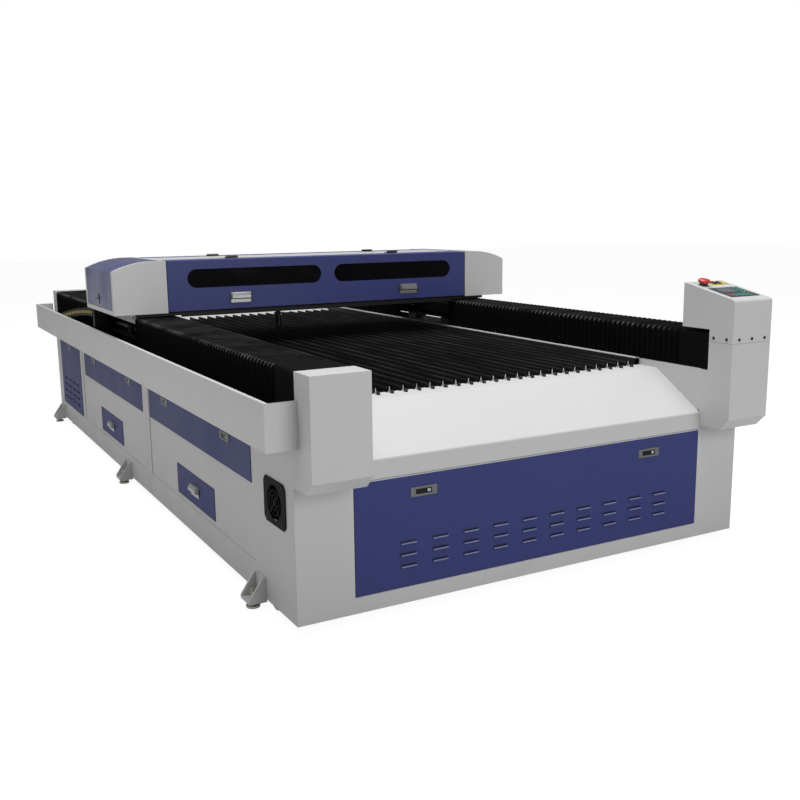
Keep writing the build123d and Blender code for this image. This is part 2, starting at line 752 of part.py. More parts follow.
def control_box_cover():
    """Folded cover with a sloped top that overhangs the right bellows."""
    outline = [
        (-POD_PROUD, BOX_SEAM),
        (-POD_PROUD, BOX_FRONT_TOP),
        (BOX_REAR, BOX_REAR_TOP),
        (BOX_REAR, BOX_UNDERSIDE),
        (-POD_REAR, BOX_UNDERSIDE),
        (-POD_REAR, BOX_SEAM),
    ]
    wall = THIN_SHEET
    inside = [
        (-POD_PROUD + wall, BOX_SEAM - 1),
        (-POD_PROUD + wall, BOX_FRONT_TOP - wall),
        (BOX_REAR - wall, BOX_REAR_TOP - wall - 0.4),
        (BOX_REAR - wall, BOX_UNDERSIDE + wall),
        (-POD_REAR - wall, BOX_UNDERSIDE + wall),
        (-POD_REAR - wall, BOX_SEAM - 1),
    ]
    shell = side_prism(outline, (COLUMN_INNER, HALF))
    front_top = [
        e
        for e in shell.edges()
        if abs(e.center().Y + POD_PROUD) < 0.1 and abs(e.center().Z - BOX_FRONT_TOP) < 0.1
    ]
    shell = fillet(front_top, BOX_BEND)
    core = side_prism(inside, (COLUMN_INNER + wall, HALF - wall))
    front_inner = [
        e
        for e in core.edges()
        if abs(e.center().Y + POD_PROUD - wall) < 0.1 and abs(e.center().Z - BOX_FRONT_TOP + wall) < 0.1
    ]
    core = fillet(front_inner, BOX_BEND - wall)
    cover = shell - core
    plane = slope_plane(ESTOP_X, ESTOP_Y)
    hole = plane * Pos(0, 0, -10) * Cylinder(ESTOP_NECK + 0.3, 30)
    return cover - hole


# Controls on the sloped top
ESTOP_X = 796.0
ESTOP_Y = 55.0
ESTOP_NECK = 11.0
ESTOP_HEAD = 23.0
ESTOP_STEM = 5.0
ESTOP_COLLAR = 7.0
ESTOP_TRAVEL = 5.0
KEYPAD_X = 850.0
KEYPAD_Y = -47.0
KEYPAD_WIDTH = 150.0
KEYPAD_LENGTH = 118.0
KEY_PITCH = 20.0
SWITCH_X = 885.0
SWITCH_Y = 75.0


def slope_plane(x, y):
    """Plane on the control box's sloped top."""
    angle = math.atan2(BOX_REAR_TOP - BOX_FRONT_TOP, BOX_REAR + POD_PROUD)
    normal = (0, -math.sin(angle), math.cos(angle))
    return Plane(origin=(x, y, box_slope(y)), x_dir=(1, 0, 0), z_dir=normal)


def keypad_panel():
    """Display unit: a thin plate with a raised screen window and rows of keys."""
    plate = extrude(Rectangle(KEYPAD_WIDTH, KEYPAD_LENGTH), 2.5)
    raised = Pos(-KEYPAD_WIDTH * 0.14, KEYPAD_LENGTH * 0.14, 2.5) * extrude(Rectangle(84, 53), 1)
    for column in range(2):
        for row in range(4):
            place = Pos(KEYPAD_WIDTH * 0.28 + column * KEY_PITCH, KEYPAD_LENGTH * 0.34 - row * 18, 2.5)
            raised += place * extrude(Rectangle(15.5, 12), 1)
    for column in range(6):
        place = Pos(-KEYPAD_WIDTH * 0.38 + column * 24, -KEYPAD_LENGTH * 0.36, 2.5)
        raised += place * extrude(Rectangle(18, 12), 1)
    switches = extrude(Rectangle(84, 50), 2.5)
    for x in (-24, 2):
        switches += Pos(x, -9, 2.5) * extrude(Rectangle(19, 26), 4)
    display = slope_plane(KEYPAD_X, KEYPAD_Y) * (plate + raised)
    return display, slope_plane(SWITCH_X, SWITCH_Y) * switches


def estop_base():
    """Collar and threaded neck of the emergency stop."""
    upward = (Align.CENTER, Align.CENTER, Align.MIN)
    collar = Cylinder(17, ESTOP_COLLAR, align=upward)
    neck = Pos(0, 0, -28) * Cylinder(ESTOP_NECK, 28, align=upward)
    bore = Pos(0, 0, -20) * Cylinder(ESTOP_STEM + RUNNING_GAP, 40, align=upward)
    return slope_plane(ESTOP_X, ESTOP_Y) * (collar + neck - bore)


def estop_button():
    """Mushroom head and its stem."""
    upward = (Align.CENTER, Align.CENTER, Align.MIN)
    top = ESTOP_COLLAR + ESTOP_TRAVEL + 1
    head = Pos(0, 0, top) * Cylinder(ESTOP_HEAD, 12, align=upward)
    rim = [e for e in head.edges() if e.center().Z > top + 11]
    head = chamfer(rim, 4)
    stem = Pos(0, 0, -10) * Cylinder(ESTOP_STEM, top + 10, align=upward)
    return slope_plane(ESTOP_X, ESTOP_Y) * (head + stem)


# Cable tray and chain

def cable_tray():
    """Open channel along the left side with a plate at each end."""
    outer = -HALF - TRAY_WIDTH
    path = [
        (-HALF, TRAY_LOW),
        (outer, TRAY_LOW),
        (outer, TRAY_HIGH),
        (outer + TRAY_LIP, TRAY_HIGH),
        (outer + TRAY_LIP, TRAY_HIGH - 8),
    ]
    y = (-TRAY_FRONT, BODY_LENGTH + TRAY_TAIL)
    tray = front_prism(sheet_outline(path, THIN_SHEET), y)
    for end in ((y[0], y[0] + THIN_SHEET), (y[1] - THIN_SHEET, y[1])):
        tray += block((outer, -HALF), end, (TRAY_LOW, TRAY_HIGH))
    return tray


def drag_chain():
    """Hollow links along the tray floor, round one bend and, sagging, back to the gantry."""
    x = -HALF - TRAY_WIDTH / 2
    low = TRAY_LOW + THIN_SHEET + CHAIN_HEIGHT / 2 + 4
    high = low + 2 * CHAIN_RADIUS
    straight = CHAIN_LOOP - CHAIN_ANCHOR
    arc = math.pi * CHAIN_RADIUS
    upper = CHAIN_LOOP - chain_end()
    reach = (CHAIN_PITCH - CHAIN_GAP) / 2
    across = (-CHAIN_WIDTH / 2, CHAIN_WIDTH / 2)
    upright = (-CHAIN_HEIGHT / 2, CHAIN_HEIGHT / 2)
    link = hollow_bar(across, (-reach, reach), upright, CHAIN_WALL, "y")
    links = []
    for i in range(int((straight + arc + upper) / CHAIN_PITCH)):
        s = (i + 0.5) * CHAIN_PITCH
        if s < straight:
            place, height, turn = CHAIN_ANCHOR + s, low, 0
        elif s < straight + arc:
            a = (s - straight) / CHAIN_RADIUS
            place = CHAIN_LOOP + CHAIN_RADIUS * math.sin(a)
            height = low + CHAIN_RADIUS * (1 - math.cos(a))
            turn = math.degrees(a)
        else:
            back = s - straight - arc
            rise = CHAIN_START_HEIGHT - high
            place, height = CHAIN_LOOP - back, high + rise * (back / upper) ** 2
            turn = 180 - math.degrees(math.atan(2 * rise * back / upper ** 2))
        links.append(Pos(x, place, height) * Rot(turn, 0, 0) * link)
    return links


# Gantry

def capped_tube(x, y, z):
    """Square tube with both its ends closed by plates."""
    wall = BEAM_WALL
    inner = block((x[0] + wall, x[1] - wall), (y[0] + wall, y[1] - wall), (z[0] + wall, z[1] - wall))
    return block(x, y, z) - inner


def shoe_limits():
    """Front and rear of the shoes that the gantry stands on, between the bellows."""
    return (GANTRY_FRONT + SHOE_SETBACK, GANTRY_REAR + SHOE_REACH)


def chain_end():
    """Rear face of the bracket that the chain is fastened to."""
    return GANTRY_REAR - TOW_INSET


def gantry_beam():
    """Front and rear tubes across the machine, the tube cradles, the screw's bearings and the motor."""
    reach = SHOE_OUTER - 5
    front = GANTRY_FRONT + BEAM_SETBACK
    low = SHOE_HIGH
    rear = GANTRY_FRONT + REAR_TUBE_SETBACK
    main = capped_tube((-reach, reach), (front, front + BEAM_DEPTH), (low, low + BEAM_HEIGHT))
    back = capped_tube((-reach, reach), (rear, rear + 80), (low, low + REAR_TUBE_HEIGHT))
    edge = GANTRY_FRONT + SKIRT_SETBACK
    skirt = block((-COLUMN_INNER + 5, COLUMN_INNER - 5), (edge, edge + SHEET), (SKIRT_LOW, CAP_LOW - 2))
    skirt += block((-reach + 5, reach - 5), (edge, edge + SHEET), (SHOE_HIGH + 1, CAP_LOW - 2))
    skirt += block((-reach + 5, reach - 5), (edge, front), (CAP_LOW - 2 - SHEET, CAP_LOW - 2))
    pieces = [main + skirt, back]
    tube_y = GANTRY_FRONT + TUBE_SETBACK
    rest = low + REAR_TUBE_HEIGHT
    for x in (-TUBE_HALF * 0.72, TUBE_HALF * 0.72):
        limits = (x - 15, x + 15)
        cradle = block(limits, (tube_y - 30, rear + 60), (rest, rest + 12))
        cradle += block(limits, (tube_y - 30, tube_y + 30), (rest + 12, TUBE_HEIGHT - 8))
        cradle -= rod((limits[0] - 1, tube_y, TUBE_HEIGHT), (1, 0, 0), TUBE_RADIUS + 0.3, 32)
        pieces.append(cradle)
    screw_y = GANTRY_FRONT + X_SCREW_SETBACK
    for x in (-FACE_HALF + 22, FACE_HALF - 22):
        limits = (x - 12, x + 12)
        z = (X_SCREW_HEIGHT - 22, X_SCREW_HEIGHT + 20)
        bearing = block(limits, (front + BEAM_DEPTH, screw_y + 20), z)
        bearing -= rod((limits[0] - 1, screw_y, X_SCREW_HEIGHT), (1, 0, 0), X_SCREW_RADIUS + RUNNING_GAP, 26)
        pieces.append(bearing)
    mount_x = -FACE_HALF - 6
    z = (X_SCREW_HEIGHT - MOTOR_HALF, X_SCREW_HEIGHT + MOTOR_HALF)
    motor = block((mount_x - 62, mount_x), (screw_y - MOTOR_HALF, screw_y + MOTOR_HALF), z)
    z = (z[0] - 2, z[1] + 2)
    mount = block((mount_x, -FACE_HALF), (front + BEAM_DEPTH, screw_y + MOTOR_HALF + 2), z)
    pieces.append(motor + mount)
    return pieces


def carriage_plates():
    """Each side's running plate, riser, shoe and screw nut, and the bracket that tows the chain."""
    shoe_y = shoe_limits()
    y = (shoe_y[0] + 7, shoe_y[1] - 7)
    low = RAIL_TOP + SADDLE_TOP
    plate = block((-SCREW_CENTRE - 40, -RAIL_CENTRE + 30), y, (low, low + 12))
    riser = block((-RAIL_CENTRE - 52, -RAIL_CENTRE - 40), (y[0] + 15, y[1] - 15), (low + 12, SHOE_LOW + 24))
    shoe = block((-SHOE_OUTER, -SHOE_INNER), shoe_y, (SHOE_LOW, SHOE_HIGH))
    shoe -= block(
        (-SHOE_OUTER + 10, -SHOE_INNER - 10),
        (shoe_y[0] + 10, shoe_y[1] - 10),
        (SHOE_LOW - 1, SHOE_HIGH - 8),
    )
    shoe += block((-SHOE_OUTER, -SHOE_OUTER + SHOE_CHEEK), shoe_y, (SHOE_LOW, CAP_LOW))
    nut = block(
        (-SCREW_CENTRE - 26, -SCREW_CENTRE + 26),
        (GANTRY_MIDDLE - 35, GANTRY_MIDDLE + 35),
        (low + 12, SCREW_HEIGHT + 20),
    )
    start = (-SCREW_CENTRE, GANTRY_MIDDLE - 36, SCREW_HEIGHT)
    nut -= rod(start, (0, 1, 0), SCREW_RADIUS + RUNNING_GAP, 72)
    middle = -HALF - TRAY_WIDTH / 2
    bracket = block(
        (middle - CHAIN_WIDTH / 2, middle + CHAIN_WIDTH / 2),
        (chain_end() - TOW_DEPTH, chain_end()),
        (TRAY_HIGH + 7, CAP_LOW),
    )
    return both_sides([plate + riser + shoe + nut]) + [bracket]


def rail_carriages():
    """Two saddles on each rail."""
    half = 32.0
    outline = [(x - RAIL_CENTRE, z + RAIL_TOP) for x, z in rail_profile(SADDLE_GAP)]
    saddles = []
    shoe_y = shoe_limits()
    for y in (shoe_y[0] + 14, shoe_y[1] - 163):
        limits = (y, y + 90)
        z = (RAIL_TOP + 6, RAIL_TOP + SADDLE_TOP)
        body = block((-RAIL_CENTRE - half, -RAIL_CENTRE + half), limits, z)
        saddles.append(body - front_prism(outline, (limits[0] - 1, limits[1] + 1)))
    return both_sides(saddles)


def cap_face(inset):
    """Outline of the left end cap seen from the front, with a curved shoulder."""
    outer = -CAP_HALF + inset
    low = CAP_LOW + inset
    shoulder = CAP_EDGE_TOP - inset * 0.8
    crown = CAP_CROWN - inset
    flat = -CAP_FLAT
    middle = ((outer + flat) / 2 - 12, shoulder + (crown - shoulder) * 0.74)
    lines = (
        Line((-FACE_HALF, low), (outer, low))
        + Line((outer, low), (outer, shoulder))
        + ThreePointArc((outer, shoulder), middle, (flat, crown))
        + Line((flat, crown), (-FACE_HALF, crown))
        + Line((-FACE_HALF, crown), (-FACE_HALF, low))
    )
    return make_face(lines)


def cap_prism(inset, y):
    """Solid of the cap's outline between two depths."""
    return extrude(Plane.XZ.offset(-y[1]) * cap_face(inset), y[1] - y[0])


def cap_opening(gap):
    """Space of the lid in the cap's crown and outer side, shrunk by a gap."""
    return block(
        (-CAP_HALF - 5, -FACE_HALF - 18 - gap),
        (GANTRY_FRONT + CAP_RIM + gap, GANTRY_REAR - CAP_RIM - gap),
        (CAP_LOW + 20 + gap, CAP_CROWN + 5),
    )


def end_cap():
    """White housing at the left end of the gantry."""
    y = (GANTRY_FRONT, GANTRY_REAR)
    outer = cap_prism(0, y)
    core = cap_prism(SHEET, (y[0] + SHEET, y[1] - SHEET))
    z = (CAP_LOW + SHEET, CAP_CROWN - SHEET)
    inner_side = block((-FACE_HALF - 1, -FACE_HALF + 1), (y[0] + SHEET, y[1] - SHEET), z)
    floor_cut = block(
        (-SHOE_OUTER - 2, -FACE_HALF + 1),
        (y[0] + SHEET, y[1] - SHEET),
        (CAP_LOW - 1, CAP_LOW + SHEET + 1),
    )
    return outer - core - inner_side - floor_cut - cap_opening(0)


def end_lid():
    """Curved lid over the cap's crown and outer side, hung from its inner edge."""
    y = (GANTRY_FRONT, GANTRY_REAR)
    skin = cap_prism(0, y) - cap_prism(SHEET, (y[0] - 1, y[1] + 1))
    return skin & cap_opening(SEAM)


def stadium(length, height):
    """Flat outline with round ends."""
    return SlotOverall(length, height)


def window_centres():
    """Middle of each window across the door."""
    middle = WINDOW_INNER + WINDOW_LENGTH / 2
    return (-middle, middle)


def door_sheet(front):
    """Folded door skin of the gantry's front, with a lip below and a flange along the top."""
    path = [
        (GANTRY_FRONT + 22, DOOR_LOW),
        (GANTRY_FRONT, DOOR_LOW),
        (GANTRY_FRONT, GANTRY_TOP),
        (GANTRY_FRONT + STRIP_START - 2, GANTRY_TOP),
    ]
    half = FACE_HALF - 3
    sheet = side_prism(sheet_outline(path, THIN_SHEET), (-half, half))
    if front:
        for x in window_centres():
            hole = extrude(stadium(WINDOW_LENGTH, WINDOW_HEIGHT), 10, both=True)
            sheet -= on_front(hole, x, GANTRY_FRONT, WINDOW_CENTRE)
    return sheet


def to_rear(shape):
    """The same piece on the rear of the gantry."""
    return mirror(shape, about=Plane.XZ.offset(-GANTRY_MIDDLE))


def door_windows():
    """Dark acrylic behind each opening in the front door."""
    panes = []
    for x in window_centres():
        pane = extrude(stadium(WINDOW_LENGTH + 24, WINDOW_HEIGHT + 24), 3)
        panes.append(on_front(pane, x, GANTRY_FRONT + THIN_SHEET + 3, WINDOW_CENTRE))
    return panes


def door_handles():
    """Pull handles on the front door."""
    return [on_front(pull_handle(), s * DOOR_HANDLE_OFFSET, GANTRY_FRONT, DOOR_HANDLE_HEIGHT) for s in (-1, 1)]


def top_strip():
    """Fixed strip between the doors, its brackets and the hinges of both doors."""
    half = FACE_HALF - 3
    y = (GANTRY_FRONT + STRIP_START, GANTRY_REAR - STRIP_START)
    high = GANTRY_TOP + 1
    strip = block((-half, half), y, (high - 2, high))
    for edge in ((y[0], y[0] + 2), (y[1] - 2, y[1])):
        strip += block((-half, half), edge, (high - 25, high))
    front = GANTRY_FRONT + BEAM_SETBACK + BEAM_DEPTH
    rear = GANTRY_FRONT + REAR_TUBE_SETBACK
    for x in (-690.0, 690.0):
        strip += block((x - 3, x + 3), (y[0], front), (SHOE_HIGH + BEAM_HEIGHT, high - 2))
        strip += block((x - 3, x + 3), (rear, y[1]), (SHOE_HIGH + REAR_TUBE_HEIGHT, high - 2))
    for x in (-HINGE_OFFSET, HINGE_OFFSET):
        limits = (x - HINGE_LENGTH / 2, x + HINGE_LENGTH / 2)
        for edge, side in ((y[0], 1), (y[1], -1)):
            near = edge - side
            knuckle = rod((limits[0], near, high + HINGE_RADIUS), (1, 0, 0), HINGE_RADIUS, HINGE_LENGTH)
            leaf = block(limits, (min(edge, edge + 34 * side), max(edge, edge + 34 * side)), (high, high + 3))
            strip += knuckle + leaf
    return strip


def laser_tube():
    """Sealed glass tube with an electrode end at each side."""
    y = GANTRY_FRONT + TUBE_SETBACK
    glass = rod((-TUBE_HALF, y, TUBE_HEIGHT), (1, 0, 0), TUBE_RADIUS, 2 * TUBE_HALF)
    neck = rod((-TUBE_HALF - 45, y, TUBE_HEIGHT), (1, 0, 0), 14, 45)
    return glass + neck + mirrored(neck)


def x_rail():
    """Rail along the rear face of the main beam."""
    y = GANTRY_FRONT + BEAM_SETBACK + BEAM_DEPTH
    return block((-770, 770), (y, y + 12), (X_RAIL_HEIGHT - 10, X_RAIL_HEIGHT + 10))


def x_screw():
    """Screw that moves the head along the gantry."""
    half = FACE_HALF - 4
    start = (-half, GANTRY_FRONT + X_SCREW_SETBACK, X_SCREW_HEIGHT)
    return rod(start, (1, 0, 0), X_SCREW_RADIUS, 2 * half)


def head_carriage():
    """Saddle, plate, screw nut, focusing ring and mirror block of the head."""
    rail_y = GANTRY_FRONT + BEAM_SETBACK + BEAM_DEPTH
    wide = (HEAD_X - 40, HEAD_X + 40)
    narrow = (HEAD_X - 20, HEAD_X + 20)
    saddle = block(wide, (rail_y + 3, rail_y + 26), (X_RAIL_HEIGHT - 22, X_RAIL_HEIGHT + 22))
    saddle -= block(
        (HEAD_X - 41, HEAD_X + 41),
        (rail_y - 1, rail_y + 12 + SADDLE_GAP),
        (X_RAIL_HEIGHT - 10 - SADDLE_GAP, X_RAIL_HEIGHT + 10 + SADDLE_GAP),
    )
    plate_y = rail_y + 26
    back = plate_y + 8
    plate = block((HEAD_X - 55, HEAD_X + 55), (plate_y, back), (RING_LOW - 6, X_SCREW_HEIGHT + 24))
    screw_y = GANTRY_FRONT + X_SCREW_SETBACK
    z = (X_SCREW_HEIGHT - 16, X_SCREW_HEIGHT + 16)
    nut = block((HEAD_X - 28, HEAD_X + 28), (back, screw_y + 16), z)
    start = (HEAD_X - 56, screw_y, X_SCREW_HEIGHT)
    bore = rod(start, (1, 0, 0), X_SCREW_RADIUS + RUNNING_GAP, 112)
    head_y = GANTRY_FRONT + HEAD_SETBACK
    arm = block(narrow, (back, head_y), (RING_LOW, RING_LOW + RING_HEIGHT))
    ring = rod((HEAD_X, head_y, RING_LOW), (0, 0, 1), LENS_RADIUS + 9, RING_HEIGHT)
    lens_bore = rod((HEAD_X, head_y, RING_LOW - 12), (0, 0, 1), LENS_RADIUS + RUNNING_GAP, 60)
    shelf = block(narrow, (back, head_y + 20), (SHELF_LOW, SHELF_LOW + 10))
    mirror_low = SHELF_LOW + 10
    mirror_box = block(narrow, (head_y - 22, head_y + 20), (mirror_low, mirror_low + 34))
    slanted = [
        e
        for e in mirror_box.edges()
        if e.center().Z > mirror_low + 33 and e.center().Y > head_y + 19
    ]
    mirror_box = chamfer(slanted, 24)
    return saddle + plate + nut + (arm + ring - lens_bore) + shelf + mirror_box - bore


def lens_tube():
    """Focusing tube with a knurled ring and a conical nozzle."""
    head_y = GANTRY_FRONT + HEAD_SETBACK
    profile = [
        (0, NOZZLE_TIP),
        (3, NOZZLE_TIP),
        (LENS_RADIUS - 2, NOZZLE_TIP + 26),
        (LENS_RADIUS - 2, NOZZLE_TIP + 44),
        (LENS_RADIUS + 3, NOZZLE_TIP + 46),
        (LENS_RADIUS + 3, NOZZLE_TIP + 58),
        (LENS_RADIUS, NOZZLE_TIP + 60),
        (LENS_RADIUS, LENS_TOP),
        (0, LENS_TOP),
    ]
    face = make_face(Polyline(*profile, close=True))
    tube = Pos(HEAD_X, head_y, 0) * revolve(Plane.XZ * face, axis=Axis.Z)
    low_fitting = rod((HEAD_X + LENS_RADIUS - 4, head_y, NOZZLE_TIP + 35), (1, 0, 0), 5.5, 14)
    top = HOSE_ARM_HEIGHT + 6
    x = (HEAD_X + LENS_RADIUS - 3, HEAD_X + HOSE_REACH + 5)
    arm = block(x, (head_y - 5, head_y + 5), (HOSE_ARM_HEIGHT, top))
    x = (HEAD_X + HOSE_REACH - 6, HEAD_X + HOSE_REACH + 6)
    socket = block(x, (head_y - 6, head_y + 6), (HOSE_ARM_HEIGHT - 10, top))
    return tube + low_fitting + arm + socket


def air_hose():
    """Short hose from the arm beside the tube down to the nozzle's side."""
    head_y = GANTRY_FRONT + HEAD_SETBACK
    start = HEAD_X + LENS_RADIUS + 10
    points = [
        (start, head_y, NOZZLE_TIP + 35),
        (start + 10, head_y, NOZZLE_TIP + 35),
        (start + 22, head_y - 1, NOZZLE_TIP + 39),
        (start + 30, head_y, NOZZLE_TIP + 50),
        (HEAD_X + HOSE_REACH, head_y, NOZZLE_TIP + 66),
        (HEAD_X + HOSE_REACH, head_y, HOSE_ARM_HEIGHT - 10),
    ]
    radii = []
    for a, b, c in zip(points, points[1:], points[2:]):
        before = Vector(*b) - Vector(*a)
        after = Vector(*c) - Vector(*b)
        turn = math.radians(before.get_angle(after))
        radii.append(0.45 * min(before.length, after.length) / math.tan(turn / 2))
    print("air hose radii", [round(r, 1) for r in radii])
    path = FilletPolyline(*points, radius=radii)
    start_plane = Plane(origin=points[0], z_dir=(1, 0, 0))
    section = RegularPolygon(HOSE_DIAMETER / 2, HOSE_SIDES)
    hose = sweep(start_plane * section, path=path)
    share = hose.volume / (section.area * path.length)
    print("air hose length", round(path.length, 1), "volume share", round(share, 4))
    return hose


# Doors and panels of the body

def front_access_panel():
    """Bottom-hung front panel with rows of louvres and two latches."""
    half = COLUMN_INNER - 2 * SEAM
    z = (PANEL_LOW + SEAM, PANEL_HIGH - SEAM)
    outer = -DOOR_PROUD / 2
    skin = block((-half, half), (outer, outer + 18), z)
    x = (-half + THIN_SHEET, half - THIN_SHEET)
    skin -= block(x, (outer + THIN_SHEET, outer + 19), (z[0] + THIN_SHEET, z[1] - THIN_SHEET))
    pieces = []
    for row in range(3):
        for column in range(10):
            x = (column - 4.5) * LOUVRE_COLUMN_PITCH
            pieces.append(on_front(louvre(), x, outer, 161 + row * LOUVRE_ROW_PITCH))
    for s in (-1, 1):
        pieces.append(on_front(latch(), s * 491, outer, PANEL_HIGH - 62))
    return skin + pieces


def side_panel(start):
    """Long bottom-hung panel with two latches."""
    end = start + SIDE_PANEL_LENGTH
    panel = tray_door((start, end), (SIDE_PANEL_LOW, SIDE_PANEL_HIGH))
    face = -HALF + LEDGE_STEP - DOOR_PROUD
    latches = [
        on_left(latch(), face, y, SIDE_PANEL_HIGH - LATCH_DROP) for y in (start + 262, end - 262)
    ]
    return panel + latches


def tall_side_door():
    """Bottom-hung door of the rear cabinet, with louvres and one latch."""
    y = (TALL_DOOR_START, TALL_DOOR_START + TALL_DOOR_LENGTH)
    outer = HALF + 1
    z = (LEDGE_TOP + SEAM, SIDE_PANEL_HIGH - SEAM)
    skin = block((-outer, -outer + DOOR_FLANGE), (y[0] + SEAM, y[1] - SEAM), z)
    skin -= block(
        (-outer + THIN_SHEET, -outer + DOOR_FLANGE + 1),
        (y[0] + SEAM + THIN_SHEET, y[1] - SEAM - THIN_SHEET),
        (z[0] + THIN_SHEET, z[1] - THIN_SHEET),
    )
    middle = (y[0] + y[1]) / 2
    pieces = [on_left(latch(), -outer, middle, SIDE_PANEL_HIGH - LATCH_DROP)]
    for row in range(4):
        for column in range(4):
            place = middle + (column - 1.5) * LOUVRE_COLUMN_PITCH
            pieces.append(on_left(louvre(), -outer, place, 190 + row * LOUVRE_ROW_PITCH))
    return skin + pieces


def scrap_drawer(centre):
    """Open drawer with a flush front and a pull handle."""
    half = DRAWER_WIDTH / 2
    outer = HALF - LEDGE_STEP + DOOR_PROUD
    front_y = (centre - half + SEAM, centre + half - SEAM)
    front = block((-outer, -outer + 5), front_y, (DRAWER_LOW + SEAM, DRAWER_HIGH - SEAM))
    y = (centre - half + 12, centre + half - 12)
    z = (DRAWER_LOW + SEAM, DRAWER_HIGH - 22)
    x = (-outer + 5, -HALF + DRAWER_DEPTH)
    inside_x = (x[0] + THIN_SHEET, x[1] - THIN_SHEET)
    inside_y = (y[0] + THIN_SHEET, y[1] - THIN_SHEET)
    box = block(x, y, z) - block(inside_x, inside_y, (z[0] + THIN_SHEET, z[1] + 1))
    handle = on_left(pull_handle(), -outer, centre, (DRAWER_LOW + DRAWER_HIGH) / 2)
    return front + box + handle


# Fan, electrics

def fan_grille():
    """Chamfered guard with concentric rings, and the fan's square frame behind it."""
    plate = extrude(Rectangle(FAN_LENGTH, FAN_HEIGHT), 4)
    corners = [
        e
        for e in plate.edges()
        if abs(e.center().X) > FAN_LENGTH / 2 - 1 and abs(e.center().Y) > FAN_HEIGHT / 2 - 1
    ]
    plate = chamfer(corners, 16)
    bore = RegularPolygon(FAN_RADIUS, FAN_SIDES, major_radius=False)
    guard = plate - extrude(bore, 5)
    for radius in (24.0, 41.0):
        outer = RegularPolygon(radius + 1.6, FAN_SIDES)
        inner = RegularPolygon(radius - 1.6, FAN_SIDES)
        guard += extrude(outer - inner, 4)
    for angle in (45, 135):
        guard += Rot(0, 0, angle) * Pos(0, 0, 2) * Box(2 * FAN_RADIUS + 4, 4, 4)
    guard += Cylinder(10, 4, align=(Align.CENTER, Align.CENTER, Align.MIN))
    frame = Pos(0, 0, -33) * extrude(Rectangle(120, 120) - bore, 30)
    hub = Pos(0, 0, -33) * Cylinder(9, 10, align=(Align.CENTER, Align.CENTER, Align.MIN))
    strut = Pos(0, 0, -31) * (Box(2 * FAN_RADIUS + 2, 5, 4) + Box(5, 2 * FAN_RADIUS + 2, 4))
    whole = [guard, frame + hub + strut]
    return [on_left(s, -HALF, FAN_Y, FAN_Z) for s in whole]


def fan_rotor():
    """Hub with seven pitched blades."""
    hub = Pos(0, 0, -22) * Cylinder(20, 16, align=(Align.CENTER, Align.CENTER, Align.MIN))
    blade = Pos(36, 0, -14) * Rot(32, 0, 0) * Box(34, 15, 1.8)
    for i in range(7):
        hub += Rot(0, 0, i * 360 / 7) * blade
    return on_left(hub, -HALF, FAN_Y, FAN_Z)


def electrics_tray():
    """Floor plate of the front cabinet with the tube's supply, the controller and four drives."""
    plate = block((-700, 700), (SHEET + 3, CABINET_DEPTH - 1), (PANEL_LOW - 2, PANEL_LOW + 1))
    floor = PANEL_LOW + 1
    supply = block((180, 520), (60, 270), (floor, floor + 170))
    fins = [block((195 + i * 20, 200 + i * 20), (70, 260), (floor + 170, floor + 176)) for i in range(16)]
    controller = block((-80, 120), (80, 260), (floor, floor + 46))
    drives = [block((-560 + i * 110, -500 + i * 110), (90, 240), (floor, floor + 130)) for i in range(4)]
    return [plate, supply + fins, controller] + drives


# Feet and casters

def foot_brackets():
    """Angle bracket with two gussets at six places."""
    outer = -HALF - FOOT_REACH
    brackets = []
    for place in FOOT_PLACES:
        y = (place - FOOT_WIDTH / 2, place + FOOT_WIDTH / 2)
        bracket = block((outer, -HALF), y, (FOOT_LOW, FOOT_LOW + FOOT_PLATE))
        bracket += block((-HALF - FOOT_PLATE, -HALF), y, (FOOT_LOW, FOOT_HIGH))
        gusset = [
            (-HALF, FOOT_LOW),
            (-HALF, FOOT_HIGH),
            (-HALF - 14, FOOT_HIGH),
            (outer, FOOT_LOW + 14),
            (outer, FOOT_LOW),
        ]
        for edge in (y[0], y[1] - FOOT_PLATE):
            bracket += front_prism(gusset, (edge, edge + FOOT_PLATE))
        hole = extrude(RegularPolygon(BOLT_RADIUS + 0.5, FOOT_SIDES), FOOT_PLATE + 2)
        bracket -= Pos(-HALF - FOOT_REACH * 0.55, place, FOOT_LOW - 1) * hole
        brackets.append(bracket)
    return both_sides(brackets)


def levelling_feet():
    """Threaded foot with a pad, a lower nut and a lock nut at six places."""
    feet = []
    for place in FOOT_PLACES:
        at = Pos(-HALF - FOOT_REACH * 0.55, place, 0)
        pad = at * extrude(RegularPolygon(PAD_RADIUS, FOOT_SIDES), 8)
        stem = at * extrude(RegularPolygon(BOLT_RADIUS, FOOT_SIDES), 66)
        low_nut = at * Pos(0, 0, FOOT_LOW - 12) * extrude(RegularPolygon(13.5, 6), 12)
        lock_nut = at * Pos(0, 0, FOOT_LOW + FOOT_PLATE) * extrude(RegularPolygon(13.5, 6), 12)
        feet.append(pad + stem + low_nut + lock_nut)
    return both_sides(feet)


def caster_places():
    """Middle of each front and rear wheel behind the body's front."""
    return (CASTER_INSET, BODY_LENGTH - CASTER_INSET)


